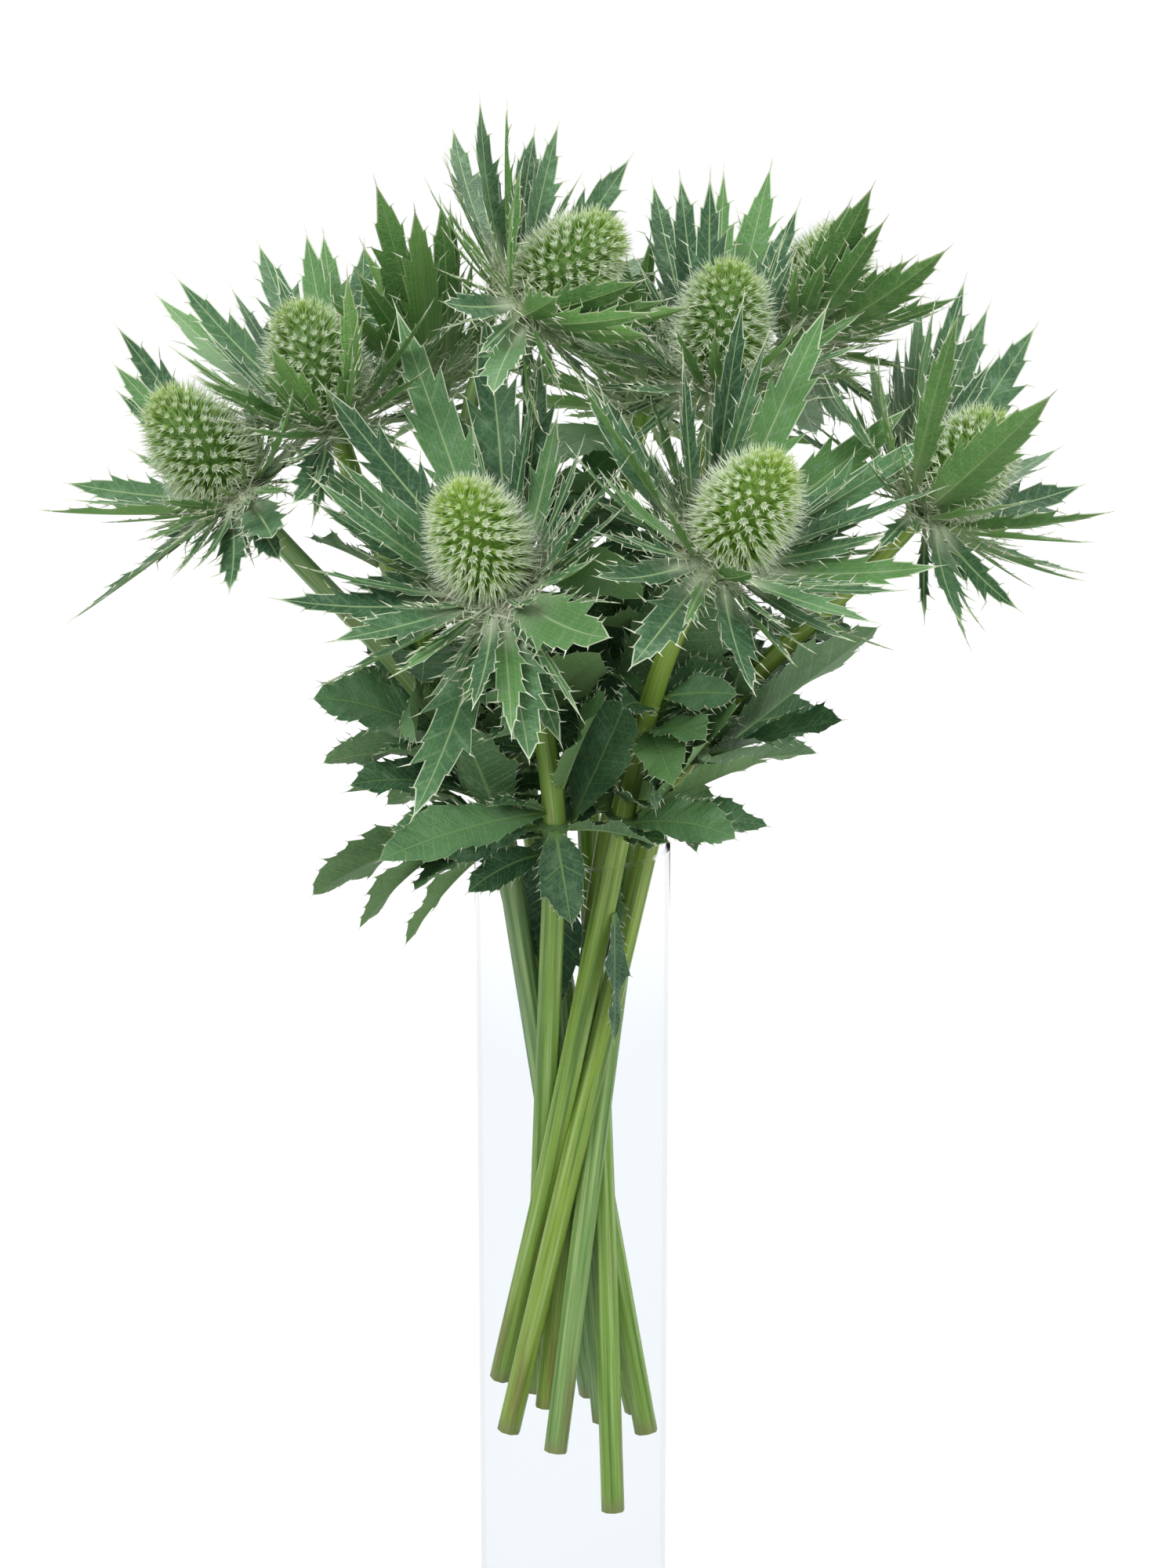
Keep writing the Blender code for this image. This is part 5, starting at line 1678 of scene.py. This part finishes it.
def spineTree(material):
    # Puts a needle on each loose point that has a spine's size, and leaves the rest of the mesh as it is.
    inputs = (
        ("Sides", "Int", spineLook["sides"]), ("Point", "Float", spineLook["point"]),
        ("Skin", "Material", material),
    )
    desk, wires = newTree("spinyMargin", inputs)
    named = {"data_type": "FLOAT_VECTOR"}
    size = desk.node("GeometryNodeInputNamedAttribute", named, {"Name": "spineSize"})
    way = desk.node("GeometryNodeInputNamedAttribute", named, {"Name": "spineWay"})
    values = {"Geometry": wires["Geometry"], "Selection": desk.parts(size)[2].math("GREATER_THAN", 0.0)}
    split = desk.node("GeometryNodeSeparateGeometry", {"domain": "POINT"}, values)
    points = desk.node("GeometryNodeMeshToPoints", {"mode": "VERTICES"}, {"Mesh": split})
    needle = desk.needle(wires["Sides"], 1.0, wires["Point"], 1.0)
    spines = desk.skinned(desk.copiesAt(points, needle, desk.alongZ(way), size), wires["Skin"])
    endAt(desk, desk.node("GeometryNodeJoinGeometry", None, {0: [split.also("Inverted"), spines]}))
    return desk


# bloom is the pale bluish bloom of the waxy skin and also painted sheen, laid on in patches.
bladeTones = {
    "bractUpper": {
        "dark": (0.034, 0.100, 0.047), "light": (0.106, 0.242, 0.100), "fresh": (0.135, 0.310, 0.080),
        "vein": (0.340, 0.490, 0.240), "margin": (0.680, 0.770, 0.560), "foot": (0.640, 0.720, 0.530),
        "bloom": (0.210, 0.340, 0.230), "footEnds": 0.40, "veinShow": 0.22, "marginWidth": 0.42,
        "midribWidth": 0.66, "stripes": 0.22, "net": 0.10, "rough": 0.36, "freshFrom": 0.70,
    },
    "bractUnder": {
        "dark": (0.100, 0.238, 0.066), "light": (0.185, 0.385, 0.112), "fresh": (0.225, 0.465, 0.110),
        "vein": (0.290, 0.450, 0.170), "margin": (0.560, 0.660, 0.400), "foot": (0.420, 0.540, 0.290),
        "bloom": (0.250, 0.400, 0.170), "footEnds": 0.36, "veinShow": 0.26, "marginWidth": 0.38,
        "midribWidth": 0.76, "stripes": 0.4, "net": 0.20, "rough": 0.46, "freshFrom": 0.55,
    },
    "leafUpper": {
        "dark": (0.044, 0.118, 0.060), "light": (0.130, 0.278, 0.134), "fresh": (0.180, 0.368, 0.108),
        "vein": (0.230, 0.400, 0.150), "margin": (0.400, 0.520, 0.300), "foot": (0.180, 0.330, 0.100),
        "bloom": (0.200, 0.330, 0.220), "footEnds": 0.14, "veinShow": 0.45, "marginWidth": 0.22,
        "midribWidth": 0.70, "stripes": 0.0, "net": 0.20, "rough": 0.33, "freshFrom": 0.60,
    },
    "leafUnder": {
        "dark": (0.084, 0.182, 0.078), "light": (0.182, 0.336, 0.150), "fresh": (0.225, 0.405, 0.130),
        "vein": (0.260, 0.400, 0.170), "margin": (0.360, 0.470, 0.260), "foot": (0.210, 0.340, 0.100),
        "bloom": (0.250, 0.370, 0.210), "footEnds": 0.14, "veinShow": 0.45, "marginWidth": 0.22,
        "midribWidth": 0.90, "stripes": 0.3, "net": 0.20, "rough": 0.46, "freshFrom": 0.60,
    },
}


# What the four skins share: scales of the noises, shares of the tones laid over, gloss and bump.
bladeGrain = {
    "cloud": 55.0, "mottle": 300.0, "mottleRough": 0.62, "grain": 900.0, "net": 420.0, "netEdge": 0.12,
    "stripe": 5.2, "stripeWander": 1.5, "fresh": 0.7, "bloom": 0.55, "midrib": 0.85, "margin": 0.85,
    "ior": 1.38, "specular": 0.28, "roughShift": 0.22, "bump": 0.42, "bumpDepth": 0.0007,
}


def bladeMaterial(name):
    tone, grained = bladeTones[name], bladeGrain
    fixed = {"Metallic": 0.0, "IOR": grained["ior"], "Specular IOR Level": grained["specular"]}
    material, desk, shader = newMaterial(name, fixed)
    midrib, edge, share = desk.parts(desk.attribute("bladeSpot", "Vector"))
    vein, own = desk.attribute("bladeVein"), desk.attribute("bladeTone")
    place = desk.objectPlace()
    cloud = desk.noise(place, grained["cloud"], 3.0)
    mottle = desk.noise(place, grained["mottle"], 3.0, grained["mottleRough"])
    grain = desk.noise(place, grained["grain"], 2.0)
    mixed = cloud * 0.50 + mottle * 0.30 + own * 0.35
    colour = desk.mix(tone["dark"], tone["light"], desk.step(mixed, 0.36, 0.78))
    fresh = desk.step(own + cloud * 0.3 - 0.15, tone["freshFrom"], 1.0)
    colour = desk.mix(colour, tone["fresh"], fresh * grained["fresh"])
    # Pale bluish patches: the waxy bloom of the skin, and painted sheen.
    bloom = desk.step(mottle + cloud * 0.5, 0.78, 1.02)
    colour = desk.mix(colour, tone["bloom"], bloom * grained["bloom"])
    if tone["stripes"]:
        stripe = (midrib * grained["stripe"] + cloud * grained["stripeWander"]).math("SINE")
        colour = desk.mix(colour, tone["dark"], desk.step(stripe, 0.1, 0.9) * tone["stripes"])
    values = {"Vector": place, "Scale": grained["net"]}
    net = desk.node("ShaderNodeTexVoronoi", {"feature": "DISTANCE_TO_EDGE"}, values)
    netting = (1 - desk.step(net, 0.02, grained["netEdge"])) * tone["net"]
    branches = desk.step(vein, 0.72, 0.98) * tone["veinShow"]
    midline = 1 - desk.step(midrib / (tone["midribWidth"] * (1.25 - share)), 0.4, 1.0)
    for mask in (netting, branches, midline * grained["midrib"]):
        colour = desk.mix(colour, tone["vein"], mask)
    foot = 1 - desk.step(share, 0.02, tone["footEnds"])
    channel = 1 - desk.step(midrib, 0.7, 2.6)
    colour = desk.mix(colour, tone["foot"], foot * (0.35 + channel * 0.65))
    rim = 1 - desk.step(edge, tone["marginWidth"] * 0.35, tone["marginWidth"])
    colour = desk.mix(colour, tone["margin"], rim * grained["margin"])
    height = cloud * 0.4 + mottle * 1.2 + grain * 0.25 - branches * 0.8 - midline * 0.8 - netting * 2.0
    desk.feed(shader, {
        "Base Color": colour,
        "Roughness": tone["rough"] + mottle * grained["roughShift"],
        "Normal": desk.bump(height, grained["bump"], grained["bumpDepth"]),
    })
    return material


def spineMaterial():
    material, desk, shader = newMaterial("spineSkin", {"Metallic": 0.0, "IOR": 1.45})
    grain = desk.noise(desk.objectPlace(), spineLook["grain"], 2.0)
    colour = desk.node("ShaderNodeValToRGB", {"stops": spineLook["stops"]}, {0: grain})
    desk.feed(shader, {"Base Color": colour, "Roughness": spineLook["rough"] + grain * 0.2})
    return material


skins = {name: bladeMaterial(name) for name in bladeTones}
spinyMargin = spineTree(spineMaterial())

# The swollen stem end under a cone and the sheath round a stem at its leaves. Radii in onStem are added to
# the stem's own and those in onRing to the leaf ring's. spot and tone are what the skin reads there.
hubShape = {
    "tone": 0.6,
    "collar": {
        "seed": 500, "sides": 28, "spot": (2.2, 9, 0.16), "low": (0, -9.5),
        "onStem": ((0.02, -9.0), (0.25, -6.5), (1.3, -3.8)),
        "disc": ((5.8, -1.9), (7.6, -0.8), (8.0, -0.1), (7.2, 0.45), (5.0, 0.6), (0, 0.6)),
    },
    "sheath": {
        "seed": 700, "sides": 24, "spot": (2.2, 9, 0.05),
        "onStem": ((-0.4, -7.5), (0.3, -6.0), (0.9, -2.5)),
        "onRing": ((-0.6, -0.6), (-0.3, 0.1), (-1.0, 0.6)), "inside": ((-0.4, 1.2), (-0.4, -7.5)),
    },
}


def widerBy(radius, steps):
    return [(radius + more, height) for more, height in steps]


def finishFoliage(name, heap, kind, profile, place, sides):
    # Adds the turned part that the blades grow from and puts the spines on.
    hub = hubShape[kind]
    heap.tone = hubShape["tone"]
    heap.lathe(profile, hub["sides"], place, sides, hub["spot"], 1)
    blade = "bract" if kind == "collar" else "leaf"
    mesh = heap.mesh(name, [skins[blade + "Upper"], skins[blade + "Under"]])
    return runTree(addObject(name, mesh), spinyMargin, {}, name)


def makeCollar(index, stem, blades, fineBlades):
    # The ring of bracts of one flower with the swollen stem end that carries it.
    hub = hubShape["collar"]
    draw = random.Random(hub["seed"] + index)
    heap = Heap()
    for blade in blades + fineBlades:
        addBlade(heap, blade, bractLook if blade["halfWidth"] > fineLook["upTo"] else fineLook, draw)
    addInnerBracts(heap, stem, draw)
    addHairs(heap, stem, draw)
    base, axis, sides = seatOf(stem)
    profile = [hub["low"], *widerBy(stemRadius(stem, stem["base"][2]), hub["onStem"]), *hub["disc"]]
    return finishFoliage(numbered("bractCollar", index), heap, "collar", profile, base, (*sides, axis))


def makeWhorl(index, stem, blades, fineBlades):
    # The leaves of one stem, with the sheath at its node that holds the largest.
    hub = hubShape["sheath"]
    draw = random.Random(hub["seed"] + index)
    heap = Heap()
    for blade in blades + fineBlades:
        addBlade(heap, blade, leafLook, draw)
    place, way = placeOnStem(index, stem, stem["node"])
    thin, ring = stemRadius(stem, stem["node"]), leafRing(stem)[1]
    profile = widerBy(thin, hub["onStem"]) + widerBy(ring, hub["onRing"]) + widerBy(thin, hub["inside"])
    sides = (*axisFrame(way), way)
    return finishFoliage(numbered("leafWhorl", index), heap, "sheath", profile, place, sides)


for i, stem in enumerate(stems):
    standsFor(makeCollar(i, stem, bracts[i], fineBracts[i]), numbered("bracts", i))
    standsFor(makeWhorl(i, stem, leaves[i], fineLeaves[i]), numbered("leaves", i))
print("bracts and leaves made")


# Floor, light and camera

studio = {
    "floorSize": 6.0, "floorTone": (0.07, 0.07, 0.07), "floorGlow": 0.975, "floorBounce": 0.50,
    "sky": 1.0, "skyOnObjects": 0.56, "skyInGloss": 0.85, "floorRough": 0.8, "floorCloud": 2.0,
    "floorPaler": 1.1, "lampsAim": (0, 0, 0.30), "cameraPlace": (0.0048, -0.9376, 0.5278), "sensor": 36,
    "clipStart": 0.01,
    "lamps": (
        ((-0.75, -0.95, 1.45), 0.8, 13.0), ((0.95, -0.55, 1.2), 0.7, 6.0), ((0.2, 0.9, 1.4), 0.9, 10.0),
    ),
}


def brightness(desk, seen, inGloss, onObjects):
    # A grey that differs as it is seen, as it shines in a gloss and as it lights the bunch.
    path = desk.node("ShaderNodeLightPath", out="Diffuse Depth")
    tone = desk.mix((seen,) * 3, (inGloss,) * 3, path.also("Glossy Depth").math("GREATER_THAN", 0.5))
    return desk.mix(tone, (onObjects,) * 3, path.math("GREATER_THAN", 0.5))


def makeFloor():
    # The floor shines white to the eye, as an overlit ground does, and lights the bunch only a little.
    half = studio["floorSize"] / 2
    mesh = bpy.data.meshes.new("paleFloor")
    corners = [(-half, -half, 0), (half, -half, 0), (half, half, 0), (-half, half, 0)]
    mesh.from_pydata(corners, [], [(0, 1, 2, 3)])
    fixed = {"Roughness": studio["floorRough"], "Metallic": 0.0, "Emission Strength": studio["floorGlow"]}
    material, desk, shader = newMaterial("paleFloor", fixed)
    cloud = desk.noise(desk.objectPlace(), studio["floorCloud"], 2.0)
    tone = studio["floorTone"]
    paler = tuple(min(1.0, x * studio["floorPaler"]) for x in tone)
    glow = brightness(desk, 1, studio["skyInGloss"], studio["floorBounce"])
    desk.feed(shader, {"Base Color": desk.mix(tone, paler, cloud), "Emission Color": glow})
    mesh.materials.append(material)
    addObject("paleFloor", mesh)


def makeLights():
    world = bpy.data.worlds.new("studioSky")
    world.use_nodes = True
    desk = Desk(world.node_tree)
    background = next(node for node in world.node_tree.nodes if node.type == "BACKGROUND")
    sky = brightness(desk, studio["sky"], studio["skyInGloss"], studio["skyOnObjects"])
    desk.feed(background, {"Color": sky, "Strength": 1.0})
    bpy.context.scene.world = world
    for k, (place, size, power) in enumerate(studio["lamps"]):
        light = bpy.data.lights.new("softLamp" + str(k + 1), "AREA")
        light.size = size
        light.energy = power
        lamp = addObject(light.name, light)
        lamp.location = place
        way = Vector(studio["lampsAim"]) - Vector(place)
        lamp.rotation_euler = way.to_track_quat("-Z", "Y").to_euler()


def makeCamera():
    camera = bpy.data.cameras.new("photoView")
    camera.sensor_fit = "VERTICAL"
    camera.sensor_height = studio["sensor"]
    camera.sensor_width = studio["sensor"]
    camera.lens = sight["lens"]
    camera.clip_start = studio["clipStart"]
    obj = addObject("photoView", camera)
    obj.location = studio["cameraPlace"]
    obj.rotation_euler = (math.pi / 2 - sight["pitch"], 0, 0)
    bpy.context.scene.camera = obj


makeFloor()
makeLights()
makeCamera()
bpy.context.scene.view_settings.view_transform = "Standard"
print("floor, light and camera made")
